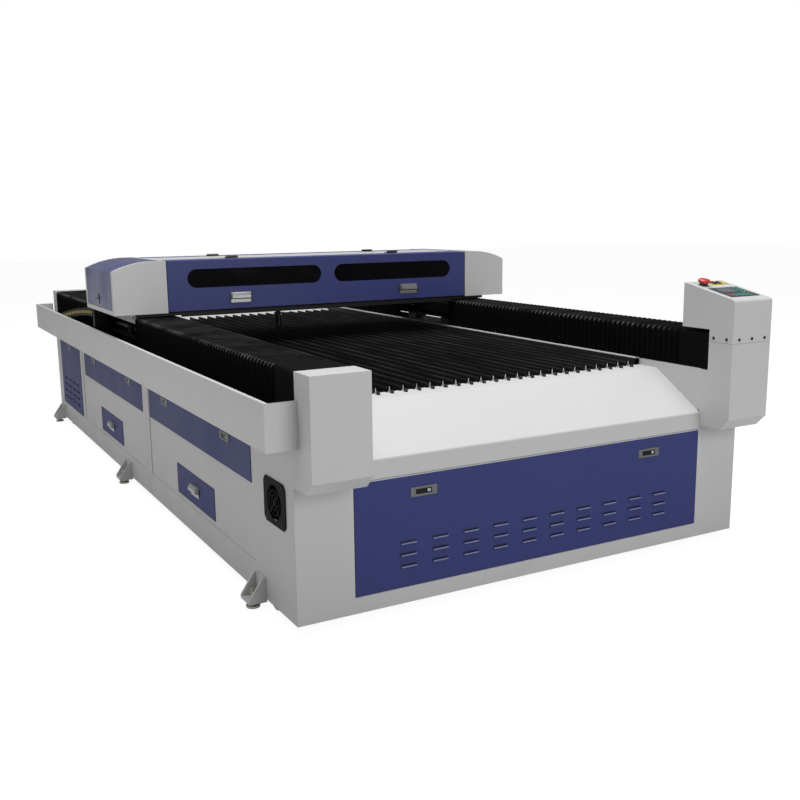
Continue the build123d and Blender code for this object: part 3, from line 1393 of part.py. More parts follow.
def caster_forks():
    """Fixed fork, plate and axle of each wheel."""
    centre = WHEEL_RADIUS + WHEEL_CLEAR
    half = WHEEL_WIDTH / 2 + 1
    forks = []
    for place in caster_places():
        plate = block((-HALF + 17, -HALF + BEAM - 4), (place - 52, place + 52), (FORK_TOP - 6, FORK_TOP))
        cheeks = []
        for side in (-1, 1):
            x = -CASTER_CENTRE + side * (half + FORK_SHEET / 2)
            points = [
                (place - 34, FORK_TOP - 6),
                (place + 34, FORK_TOP - 6),
                (place + 12, centre - 12),
                (place - 12, centre - 12),
            ]
            cheeks.append(side_prism(points, (x - FORK_SHEET / 2, x + FORK_SHEET / 2)))
        start = (-CASTER_CENTRE - half - FORK_SHEET, place, centre)
        axle = rod(start, (1, 0, 0), AXLE_RADIUS, 2 * (half + FORK_SHEET))
        forks.append(plate + cheeks + axle)
    return both_sides(forks)


def caster_wheel(place):
    """Wheel with a plain tread, bored for its axle."""
    height = WHEEL_RADIUS + WHEEL_CLEAR
    start = (-CASTER_CENTRE - WHEEL_WIDTH / 2, place, height)
    tread = rod(start, (1, 0, 0), WHEEL_RADIUS, WHEEL_WIDTH)
    return tread - rod(start, (1, 0, 0), AXLE_RADIUS + RUNNING_GAP, WHEEL_WIDTH)


def main():
    """Build every node and write its file."""
    os.makedirs("parts", exist_ok=True)
    save("base_frame", *base_frame())
    save("side_cladding_left", *side_cladding(left_openings()))
    save("side_cladding_right", *[mirrored(s) for s in side_cladding([])])
    save("front_fascia", front_fascia())
    save("rear_panel", rear_panel())
    save("rear_deck", rear_deck())
    save("front_apron", front_apron())
    save("bed_slats", *bed_slats())
    save("slat_supports", *slat_supports())
    save("scrap_hopper", *scrap_hopper())
    save("rail_beams", *rail_beams())
    save("linear_rails", *linear_rails())
    save("y_motors", *y_motors())
    save("ball_screw_left", ball_screw())
    save("ball_screw_right", mirrored(ball_screw()))
    shoe = shoe_limits()
    front_bellows = pleated_cover(-POD_REAR + BELLOWS_END_GAP, COLLAR_END, shoe[0] - BELLOWS_END_GAP)
    rear_bellows = pleated_cover(shoe[1] + BELLOWS_END_GAP, shoe[1] + BELLOWS_END_GAP, REAR_COVER_START)
    save("front_bellows", *both_sides([front_bellows]))
    save("rear_bellows", *both_sides([rear_bellows]))
    save("rear_rail_covers", *rear_rail_covers())
    save("pod_left", pod(POD_TOP, True))
    save("pod_right", mirrored(pod(BOX_SEAM, False)))
    save("control_box_cover", control_box_cover())
    save("keypad_panel", *keypad_panel())
    save("estop_base", estop_base())
    save("estop_button", estop_button())
    save("cable_tray", cable_tray())
    save("drag_chain", *drag_chain())
    save("gantry_beam", *gantry_beam())
    save("carriage_plates", *carriage_plates())
    save("rail_carriages", *rail_carriages())
    save("end_cap_left", end_cap())
    save("end_cap_right", mirrored(end_cap()))
    save("end_lid_left", end_lid())
    save("end_lid_right", mirrored(end_lid()))
    save("gantry_front_door", door_sheet(True))
    save("gantry_rear_door", to_rear(door_sheet(False)))
    save("door_windows", *door_windows())
    save("door_handles", *door_handles())
    save("top_strip", top_strip())
    save("laser_tube", laser_tube())
    save("x_rail", x_rail())
    save("x_screw", x_screw())
    save("head_carriage", head_carriage())
    save("lens_tube", lens_tube())
    save("air_hose", air_hose())
    save("front_access_panel", front_access_panel())
    save("side_panel_front", side_panel(SIDE_PANEL_STARTS[0]))
    save("side_panel_rear", side_panel(SIDE_PANEL_STARTS[1]))
    save("tall_side_door", tall_side_door())
    save("scrap_drawer_front", scrap_drawer(DRAWER_CENTRES[0]))
    save("scrap_drawer_rear", scrap_drawer(DRAWER_CENTRES[1]))
    save("fan_grille", *fan_grille())
    save("fan_rotor", fan_rotor())
    save("electrics_tray", *electrics_tray())
    save("foot_brackets", *foot_brackets())
    save("levelling_feet", *levelling_feet())
    save("caster_forks", *caster_forks())
    for name, place in zip(("front", "rear"), caster_places()):
        save("caster_wheel_" + name + "_left", caster_wheel(place))
        save("caster_wheel_" + name + "_right", mirrored(caster_wheel(place)))


if __name__ == "__main__":
    main()
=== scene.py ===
"""Looks of a laser engraving machine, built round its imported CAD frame."""

import logging
import math
from dataclasses import dataclass
from enum import Enum
from typing import Iterable, Sequence

import bmesh
import bpy
from mathutils import Matrix, Vector


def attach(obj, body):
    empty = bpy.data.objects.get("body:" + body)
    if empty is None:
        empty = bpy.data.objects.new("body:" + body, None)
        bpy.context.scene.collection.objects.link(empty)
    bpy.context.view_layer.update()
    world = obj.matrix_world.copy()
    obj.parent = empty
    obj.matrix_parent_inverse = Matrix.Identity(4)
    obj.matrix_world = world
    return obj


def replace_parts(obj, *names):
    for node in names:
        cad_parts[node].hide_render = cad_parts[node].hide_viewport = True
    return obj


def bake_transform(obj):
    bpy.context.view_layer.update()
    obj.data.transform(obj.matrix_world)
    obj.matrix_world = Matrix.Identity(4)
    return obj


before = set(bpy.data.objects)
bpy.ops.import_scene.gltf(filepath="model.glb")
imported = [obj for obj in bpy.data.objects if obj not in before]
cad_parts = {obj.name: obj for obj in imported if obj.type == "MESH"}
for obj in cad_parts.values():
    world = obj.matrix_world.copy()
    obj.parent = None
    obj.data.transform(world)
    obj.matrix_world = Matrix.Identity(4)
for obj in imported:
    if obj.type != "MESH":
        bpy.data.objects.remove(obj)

MM = 0.001
BODY_FRONT = -1.935
LOG = logging.getLogger("machine")

LEFT = Vector((-1, 0, 0))
RIGHT = Vector((1, 0, 0))
FRONT = Vector((0, -1, 0))
UP = Vector((0, 0, 1))
DOWN = Vector((0, 0, -1))

Colour = tuple[float, float, float]


def at(x: float, depth: float, z: float) -> Vector:
    """Turn millimetres from the body's front plane into a place in the frame.

    Args:
        x: Distance to the right of the middle.
        depth: Distance behind the body's front plane.
        z: Height above the floor.

    Returns:
        The place in metres.
    """
    return Vector((x * MM, depth * MM + BODY_FRONT, z * MM))


class Grain(Enum):
    """Direction in which a metal was brushed or ground."""

    ACROSS = 0
    ALONG = 1
    UPRIGHT = 2


class Signal:
    """A value in a material's node tree that is written like a number."""

    def __init__(self, sheet: "Sheet", source: object) -> None:
        """Hold a node's output socket."""
        self.sheet = sheet
        self.source = source

    def _math(self, operation: str, *others: object) -> "Signal":
        """Put a Math node behind this value."""
        inputs = dict(enumerate((self, *others)))
        return self.sheet.put("ShaderNodeMath", {"operation": operation}, inputs)

    def _behind(self, operation: str, other: object) -> "Signal":
        """Put a Math node whose first input is the other value."""
        return self.sheet.put("ShaderNodeMath", {"operation": operation}, {0: other, 1: self})

    def __add__(self, other: object) -> "Signal":
        """Add."""
        return self._math("ADD", other)

    def __radd__(self, other: object) -> "Signal":
        """Add to a number."""
        return self._math("ADD", other)

    def __sub__(self, other: object) -> "Signal":
        """Subtract."""
        return self._math("SUBTRACT", other)

    def __rsub__(self, other: object) -> "Signal":
        """Subtract from a number."""
        return self._behind("SUBTRACT", other)

    def __mul__(self, other: object) -> "Signal":
        """Multiply."""
        return self._math("MULTIPLY", other)

    def __rmul__(self, other: object) -> "Signal":
        """Multiply a number."""
        return self._math("MULTIPLY", other)

    def __truediv__(self, other: object) -> "Signal":
        """Divide."""
        return self._math("DIVIDE", other)

    def __rtruediv__(self, other: object) -> "Signal":
        """Divide a number."""
        return self._behind("DIVIDE", other)

    def __gt__(self, other: object) -> "Signal":
        """One where this is greater."""
        return self._math("GREATER_THAN", other)

    def __lt__(self, other: object) -> "Signal":
        """One where this is less."""
        return self._math("LESS_THAN", other)

    def __mod__(self, other: object) -> "Signal":
        """Remainder that is never negative."""
        return self._math("FLOORED_MODULO", other)

    def sine(self) -> "Signal":
        """Sine of an angle in radians."""
        return self._math("SINE")

    def least(self, other: object) -> "Signal":
        """The smaller of two."""
        return self._math("MINIMUM", other)

    def angle_over(self, other: "Signal") -> "Signal":
        """Angle whose tangent is this over the other."""
        return self._math("ARCTAN2", other)

    def ease(self, low: float, high: float) -> "Signal":
        """Rise smoothly from nought to one between two values.

        Args:
            low: Value that gives nought.
            high: Value that gives one.

        Returns:
            The eased value.
        """
        inputs = {"Value": self, "From Min": low, "From Max": high}
        return self.sheet.put("ShaderNodeMapRange", {"interpolation_type": "SMOOTHSTEP"}, inputs)


class Sheet:
    """Node tree of one material with its shader."""

    def __init__(self, name: str) -> None:
        """Start an empty material."""
        self.material = bpy.data.materials.new(name)
        self.material.use_nodes = True
        self.tree = self.material.node_tree
        self.surface = self.tree.nodes["Principled BSDF"]

    def feed(self, socket: bpy.types.NodeSocket, value: object) -> None:
        """Link or set one socket."""
        if isinstance(value, Signal):
            self.tree.links.new(value.source, socket)
        elif isinstance(value, tuple) and len(value) == 3 and socket.type == "RGBA":
            socket.default_value = (*value, 1.0)
        else:
            socket.default_value = value

    def put(
        self,
        kind: str,
        settings: "dict | None" = None,
        inputs: "dict | None" = None,
        output: object = 0,
    ) -> Signal:
        """Add any node.

        Args:
            kind: The node's type.
            settings: Properties that are set before the sockets.
            inputs: Values or signals by socket name or number.
            output: Name or number of the output to use.

        Returns:
            That output as a signal.
        """
        node = self.tree.nodes.new(kind)
        for key, value in (settings or {}).items():
            setattr(node, key, value)
        for key, value in (inputs or {}).items():
            self.feed(node.inputs[key], value)
        return Signal(self, node.outputs[output])

    def place(self) -> Signal:
        """Object coordinates of the point."""
        return self.put("ShaderNodeTexCoord", output="Object")

    def axes(self) -> tuple[Signal, Signal, Signal]:
        """Object coordinates of the point, one by one."""
        node = self.put("ShaderNodeSeparateXYZ", inputs={0: self.place()}).source.node
        return tuple(Signal(self, node.outputs[i]) for i in range(3))

    def stretched(self, scale: Sequence[float]) -> Signal:
        """Object coordinates scaled along each axis."""
        settings = {"operation": "MULTIPLY"}
        return self.put("ShaderNodeVectorMath", settings, {0: self.place(), 1: tuple(scale)})

    def noise(self, scale: float, detail: float = 3.0, vector: "Signal | None" = None) -> Signal:
        """Cloudy pattern from nought to one.

        Args:
            scale: Size of the pattern, larger is finer.
            detail: Number of finer layers.
            vector: Coordinates, or the object's own.

        Returns:
            The pattern.
        """
        inputs = {"Vector": vector or self.place(), "Scale": scale, "Detail": detail}
        return self.put("ShaderNodeTexNoise", {}, inputs, "Fac")

    def blend(self, factor: object, first: object, second: object) -> Signal:
        """Mix two colours."""
        inputs = {0: factor, 6: first, 7: second}
        return self.put("ShaderNodeMix", {"data_type": "RGBA"}, inputs, 2)

    def tint(self, colour: Colour, amount: Signal) -> Signal:
        """A colour made lighter or darker by an amount about one."""
        black = (0.0, 0.0, 0.0)
        bright = tuple(min(1.0, 2.0 * c) for c in colour)
        return self.blend(amount * 0.5, black, bright)

    def inside(self, low: Vector, high: Vector) -> Signal:
        """One inside a box and nought outside it."""
        mask = None
        for axis, signal in enumerate(self.axes()):
            part = (signal > low[axis]) * (signal < high[axis])
            mask = part if mask is None else mask * part
        return mask

    def bump(
        self, height: Signal, distance: float, strength: float = 1.0, under: "Signal | None" = None
    ) -> Signal:
        """Surface normal from a height pattern.

        Args:
            height: The pattern.
            distance: Height in metres of the pattern's full range.
            strength: Share of the effect.
            under: Normal that this one is laid over.

        Returns:
            The normal.
        """
        inputs = {"Strength": strength, "Distance": distance, "Height": height}
        if under is not None:
            inputs["Normal"] = under
        return self.put("ShaderNodeBump", {}, inputs, "Normal")

    def dress(self, **inputs: object) -> bpy.types.Material:
        """Feed the shader by socket name with underscores for spaces."""
        for key, value in inputs.items():
            self.feed(self.surface.inputs[key.replace("_", " ")], value)
        return self.material


@dataclass(frozen=True)
class Region:
    """A box on a coated part that shows bare metal or another colour instead of the coat."""

    low: Vector
    high: Vector
    colour: Colour = (0.6, 0.6, 0.59)
    metallic: float = 1.0


@dataclass(frozen=True)
class PowderCoat:
    """Baked powder coat with a fine peel, slight clouding, and mottled darkening and roughening towards the
    floor.
    """

    name: str
    colour: Colour
    rough: float = 0.4
    peel: float = 0.00016
    floor_darkening: float = 0.08
    gloss: float = 0.5
    wave: float = 0.0
    regions: tuple[Region, ...] = ()

    def make(self) -> bpy.types.Material:
        """Build the material."""
        sheet = Sheet(self.name)
        height = sheet.axes()[2]
        cloud = sheet.noise(1.7, 4.0)
        smear = sheet.noise(6.0, 5.0, sheet.stretched((1.0, 1.0, 0.25)))
        speck = sheet.noise(240.0, 2.0)
        # Darker and rougher towards the floor, in mottled patches.
        low_down = 1.0 - height.ease(0.02, 0.45)
        shade = 0.96 + cloud * 0.05 + smear * 0.03 - low_down * self.floor_darkening * smear
        base = sheet.tint(self.colour, shade)
        rough = self.rough + (smear - 0.5) * 0.16 + low_down * 0.1
        metal: object = 0.0
        for region in self.regions:
            mask = sheet.inside(region.low, region.high)
            worn = 0.92 + sheet.noise(90.0, 4.0) * 0.14
            base = sheet.blend(mask, base, sheet.tint(region.colour, worn))
            metal = (1.0 - mask) * metal + mask * region.metallic
            rough = rough - mask * 0.05
        normal = sheet.bump(speck + smear * 0.4, self.peel, 0.35)
        if self.wave:
            normal = sheet.bump(sheet.noise(2.6, 1.0), self.wave, under=normal)
        looks = {"Base_Color": base, "Roughness": rough, "Metallic": metal, "Normal": normal}
        return sheet.dress(Specular_IOR_Level=self.gloss, **looks)


@dataclass(frozen=True)
class BareMetal:
    """Brushed, ground or cast metal with a grain and faint handling marks."""

    name: str
    colour: Colour = (0.62, 0.62, 0.61)
    rough: float = 0.32
    grain: Grain = Grain.ALONG
    stain: Colour = (0.35, 0.33, 0.29)

    def make(self) -> bpy.types.Material:
        """Build the material."""
        sheet = Sheet(self.name)
        scale = [420.0, 420.0, 420.0]
        scale[self.grain.value] = 14.0
        lines = sheet.noise(1.0, 3.0, sheet.stretched(scale))
        marks = sheet.noise(14.0, 6.0)
        spots = marks.ease(0.58, 0.75)
        base = sheet.blend(spots * 0.35, sheet.tint(self.colour, 0.9 + lines * 0.2), self.stain)
        rough = self.rough + lines * 0.14 + spots * 0.12
        normal = sheet.bump(lines, 0.00008, 0.4)
        return sheet.dress(Base_Color=base, Roughness=rough, Metallic=0.95, Normal=normal)


@dataclass(frozen=True)
class Threaded:
    """Ground steel with a thread cut along one axis."""

    name: str
    centre: Vector
    axis: int
    lead: float
    depth: float
    colour: Colour = (0.55, 0.55, 0.54)

    def make(self) -> bpy.types.Material:
        """Build the material."""
        sheet = Sheet(self.name)
        place = sheet.axes()
        others = [i for i in range(3) if i != self.axis]
        first, second = (place[i] - self.centre[i] for i in others)
        turn = first.angle_over(second) / (2.0 * math.pi)
        along = place[self.axis] / self.lead
        groove = ((along + turn) % 1.0 * (2.0 * math.pi)).sine()
        oil = sheet.noise(30.0, 4.0)
        bright = sheet.tint(self.colour, 0.85 + oil * 0.3)
        base = sheet.blend(groove.ease(-0.9, 0.4), (0.16, 0.15, 0.13), bright)
        normal = sheet.bump(groove, self.depth, 0.9)
        return sheet.dress(Base_Color=base, Roughness=0.24 + oil * 0.2, Metallic=0.95, Normal=normal)


@dataclass(frozen=True)
class FoldedCloth:
    """Coated bellows cloth, scuffed lighter along the outer folds and dusty on top."""

    name: str
    colour: Colour = (0.0035, 0.0035, 0.004)
    scuff: Colour = (0.13, 0.13, 0.132)

    def make(self) -> bpy.types.Material:
        """Build the material."""
        sheet = Sheet(self.name)
        fold = sheet.put("ShaderNodeAttribute", {"attribute_name": "fold"}, output="Fac")
        x, y, z = sheet.axes()
        weave = (x * 5200.0).sine() * (y * 5200.0).sine() + (z * 5200.0).sine() * 0.6
        patch = sheet.noise(9.0, 5.0)
        wear = fold.ease(0.8, 1.0) * patch.ease(0.25, 0.7)
        corner = z.ease(0.83, 0.842) * (1.0 - z.ease(0.8465, 0.848))
        base = sheet.blend((wear * (corner * 0.9 + 0.01)).least(1.0), self.colour, self.scuff)
        rough = 0.72 + patch * 0.2
        normal = sheet.bump(weave * 0.5 + patch, 0.00025, 0.5)
        return sheet.dress(Base_Color=base, Roughness=rough, Specular_IOR_Level=0.04, Normal=normal)


@dataclass(frozen=True)
class BurntSteel:
    """Blackened slat steel, lighter on its cutting edge, partly rubbed bare and partly a painted highlight,
    and marked by the beam.
    """

    name: str
    colour: Colour = (0.006, 0.0065, 0.0065)
    edge: Colour = (0.05, 0.05, 0.048)
    edge_height: float = 0.6965

    def make(self) -> bpy.types.Material:
        """Build the material."""
        sheet = Sheet(self.name)
        z = sheet.axes()[2]
        streak = sheet.noise(1.0, 5.0, sheet.stretched((40.0, 3.0, 60.0)))
        burn = sheet.noise(26.0, 4.0)
        # Lighter cutting edge: partly rubbed wear, partly a painted highlight.
        rubbed_and_highlit = z.ease(self.edge_height - 0.004, self.edge_height + 0.001) * streak.ease(0.3, 0.7)
        base = sheet.blend(rubbed_and_highlit, sheet.tint(self.colour, 0.6 + streak * 0.9), self.edge)
        base = sheet.blend(burn.ease(0.6, 0.78) * 0.25, base, (0.05, 0.028, 0.016))
        rough = 0.6 + streak * 0.2
        normal = sheet.bump(burn + streak, 0.0004, 0.4)
        looks = {"Base_Color": base, "Roughness": rough, "Metallic": 0.15, "Normal": normal}
        return sheet.dress(Specular_IOR_Level=0.2, **looks)


@dataclass(frozen=True)
class Moulded:
    """Moulded plastic or rubber with a fine spark texture and slight wear."""

    name: str
    colour: Colour
    rough: float = 0.5
    texture: float = 0.0002
    coat: float = 0.0
    wear: Colour = (0.05, 0.05, 0.05)
    gloss: float = 0.5

    def make(self) -> bpy.types.Material:
        """Build the material."""
        sheet = Sheet(self.name)
        spark = sheet.noise(700.0, 2.0)
        cloud = sheet.noise(22.0, 4.0)
        clean = sheet.tint(self.colour, 0.9 + cloud * 0.2)
        base = sheet.blend(cloud.ease(0.55, 0.85) * 0.2, clean, self.wear)
        rough = self.rough + (cloud - 0.5) * 0.18
        normal = sheet.bump(spark, self.texture, 0.4)
        looks = {"Base_Color": base, "Roughness": rough, "Coat_Weight": self.coat, "Normal": normal}
        return sheet.dress(Specular_IOR_Level=self.gloss, **looks)


@dataclass(frozen=True)
class SmokedPane:
    """Dark acrylic pane with finger smears in its gloss."""

    name: str
    colour: Colour = (0.0015, 0.0015, 0.002)

    def make(self) -> bpy.types.Material:
        """Build the material."""
        sheet = Sheet(self.name)
        smear = sheet.noise(9.0, 6.0, sheet.stretched((1.0, 1.0, 3.0)))
        base = sheet.blend(smear * 0.5, self.colour, (0.004, 0.004, 0.006))
        rough = 0.12 + smear.ease(0.5, 0.8) * 0.2
        normal = sheet.bump(sheet.noise(3.0, 1.0), 0.0008, 0.15)
        return sheet.dress(Base_Color=base, Roughness=rough, Specular_IOR_Level=0.06, Normal=normal)


@dataclass(frozen=True)
class TubeGlass:
    """Clear glass of the sealed tube with a faint tint and draw lines."""

    name: str

    def make(self) -> bpy.types.Material:
        """Build the material."""
        sheet = Sheet(self.name)
        draw = sheet.noise(1.0, 3.0, sheet.stretched((2.0, 160.0, 160.0)))
        base = sheet.blend(draw, (0.78, 0.86, 0.88), (0.9, 0.95, 0.97))
        normal = sheet.bump(draw, 0.0002, 0.3)
        rough = 0.04 + draw * 0.05
        return sheet.dress(Base_Color=base, Roughness=rough, Transmission_Weight=0.85, Normal=normal)


@dataclass(frozen=True)
class LitScreen:
    """Segment screen with a dim backlight and rows of dark cells."""

    name: str
    pitch: float = 0.0055

    def make(self) -> bpy.types.Material:
        """Build the material."""
        sheet = Sheet(self.name)
        x, y = sheet.axes()[:2]
        column = (x / self.pitch) % 1.0
        row = (y / (self.pitch * 1.6)) % 1.0
        cell = (column > 0.25) * (row > 0.35)
        patch = sheet.noise(55.0, 2.0).ease(0.45, 0.6)
        base = sheet.blend(cell * patch * 0.6, (0.11, 0.115, 0.15), (0.03, 0.04, 0.07))
        rough = 0.18 + patch * 0.06
        normal = sheet.bump(cell, 0.0001, 0.2)
        return sheet.dress(Base_Color=base, Roughness=rough, Coat_Weight=0.5, Normal=normal)


class Workshop:
    """Helpers that turn bmesh work into finished pieces of the machine."""

    HEAD_STEPS = (0.0, 0.25, 0.6, 0.6, 0.25)
    HEAD_RADII = (1.0, 1.0, 0.62, 0.42, 0.36)

    @staticmethod
    def dress(node: str, material: bpy.types.Material) -> None:
        """Give a CAD node its finish."""
        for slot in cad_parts[node].material_slots:
            slot.material = material

    @staticmethod
    def block(bm: bmesh.types.BMesh, low: Vector, high: Vector, radius: float = 0.0) -> list:
        """Add a box with rounded edges.

        Args:
            bm: The mesh that is worked on.
            low: Lowest corner.
            high: Highest corner.
            radius: Radius of the rounded edges.

        Returns:
            The new vertices.
        """
        verts = bmesh.ops.create_cube(bm, size=1.0)["verts"]
        bmesh.ops.scale(bm, vec=high - low, verts=verts)
        bmesh.ops.translate(bm, vec=(low + high) / 2, verts=verts)
        if radius:
            edges = list({e for v in verts for e in v.link_edges})
            rounded = bmesh.ops.bevel(
                bm,
                geom=edges,
                offset=radius,
                offset_type="OFFSET",
                segments=2,
                profile=0.5,
                affect="EDGES",
                material=-1,
            )
            verts = list({v for f in rounded["faces"] for v in f.verts} | {v for v in verts if v.is_valid})
        return verts

    @staticmethod
    def pad(
        bm: bmesh.types.BMesh, spot: Vector, half: tuple[float, float], height: float, radius: float
    ) -> list:
        """Add a low block with rounded edges that stands on a spot.

        Args:
            bm: The mesh that is worked on.
            spot: Middle of its underside.
            half: Half its length and half its width.
            height: Its height.
            radius: Radius of the rounded edges.

        Returns:
            The new vertices.
        """
        return Workshop.block(bm, spot - Vector((*half, 0)), spot + Vector((*half, height)), radius)

    @staticmethod
    def paint(verts: Iterable[bmesh.types.BMVert], number: int) -> None:
        """Give the faces round some vertices one of the piece's finishes.

        Args:
            verts: The vertices.
            number: Place of the finish in the piece's list.
        """
        for vert in verts:
            for face in vert.link_faces:
                face.material_index = number

    @staticmethod
    def rod(
        bm: bmesh.types.BMesh,
        start: Vector,
        axis: Vector,
        radii: Sequence[float],
        steps: Sequence[float],
        sides: int = 24,
    ) -> list:
        """Add a turned piece whose radius changes along its length.

        Args:
            bm: The mesh that is worked on.
            start: Middle of its first end.
            axis: Direction of its length.
            radii: Radius at each step.
            steps: Distance of each step from the start.
            sides: Number of sides.

        Returns:
            The new vertices.
        """
        made = bmesh.ops.create_circle(bm, cap_ends=True, radius=radii[0], segments=sides)["verts"]
        face = next(f for f in made[0].link_faces)
        everything = list(made)
        for before, after, low, high in zip(radii, radii[1:], steps, steps[1:]):
            grown = bmesh.ops.extrude_face_region(bm, geom=[face])["geom"]
            verts = [g for g in grown if isinstance(g, bmesh.types.BMVert)]
            face = next(g for g in grown if isinstance(g, bmesh.types.BMFace))
            bmesh.ops.translate(bm, vec=(0, 0, high - low), verts=verts)
            share = after / before
            centre = Matrix.Translation((0, 0, -(high - steps[0])))
            bmesh.ops.scale(bm, vec=(share, share, 1), verts=verts, space=centre)
            everything += verts
        turn = UP.rotation_difference(axis.normalized()).to_matrix().to_4x4()
        bmesh.ops.transform(bm, matrix=Matrix.Translation(start) @ turn, verts=everything)
        return everything

    @staticmethod
    def screw(bm: bmesh.types.BMesh, place: Vector, axis: Vector, radius: float = 0.0045) -> None:
        """Add a button head with a socket.

        Args:
            bm: The mesh that is worked on.
            place: Middle of the face it sits on.
            axis: Direction it points in.
            radius: Radius of the head.
        """
        steps = [radius * share for share in Workshop.HEAD_STEPS]
        radii = [radius * share for share in Workshop.HEAD_RADII]
        Workshop.rod(bm, place, axis, radii, steps, 12)

    @staticmethod
    def piece(
        name: str,
        bm: bmesh.types.BMesh,
        materials: Iterable[bpy.types.Material],
        body: str,
        slot: str,
        smooth: float = 35.0,
        ride: bool = True,
    ) -> bpy.types.Object:
        """Finish a mesh as a piece of the machine.

        Args:
            name: Name of the piece.
            bm: The mesh, which is freed.
            materials: Its finishes, in the order of the faces' numbers.
            body: CAD body it rides on.
            slot: Name of a material slot in the record; not used.
            smooth: Largest angle in degrees that is shaded smooth.
            ride: Whether it rides on the body at once.

        Returns:
            The new object.
        """
        bmesh.ops.remove_doubles(bm, verts=bm.verts, dist=1e-6)
        bmesh.ops.recalc_face_normals(bm, faces=bm.faces)
        mesh = bpy.data.meshes.new(name)
        for face in bm.faces:
            face.smooth = True
        for edge in bm.edges:
            if len(edge.link_faces) != 2 or edge.calc_face_angle(0.0) > math.radians(smooth):
                edge.smooth = False
        bm.to_mesh(mesh)
        bm.free()
        for material in materials:
            mesh.materials.append(material)
        made = bpy.data.objects.new(name, mesh)
        bpy.context.scene.collection.objects.link(made)
        if ride:
            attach(made, body)
        LOG.info("%s: %d faces", name, len(mesh.polygons))
        return made


@dataclass
class PhotoCamera:
    """Camera at the photograph's place and lens."""

    place: Vector = Vector((-2.0325, -4.5628, 1.2864))
    yaw: float = -29.002
    pitch: float = -10.707
    roll: float = -0.665
    focal_pixels: float = 961.715
    frame_pixels: float = 800.0
    sensor: float = 36.0

    def build(self) -> None:
        """Create the camera and make it the scene's."""
        data = bpy.data.cameras.new("photo_camera")
        data.sensor_fit = "HORIZONTAL"
        data.sensor_width = self.sensor
        data.lens = self.focal_pixels / self.frame_pixels * self.sensor
        data.clip_end = 200.0
        camera = bpy.data.objects.new("photo_camera", data)
        yaw, pitch, roll = (math.radians(a) for a in (self.yaw, self.pitch, self.roll))
        forward = Vector((-math.sin(yaw) * math.cos(pitch), math.cos(yaw) * math.cos(pitch), math.sin(pitch)))
        right = Vector((math.cos(yaw), math.sin(yaw), 0.0))
        up = right.cross(forward)
        turned_right = right * math.cos(roll) + up * math.sin(roll)
        turned_up = up * math.cos(roll) - right * math.sin(roll)
        axes = Matrix((turned_right, turned_up, -forward)).transposed()
        camera.matrix_world = Matrix.Translation(self.place) @ axes.to_4x4()
        bpy.context.scene.collection.objects.link(camera)
        bpy.context.scene.camera = camera
        LOG.info("camera at %s", tuple(round(v, 3) for v in self.place))


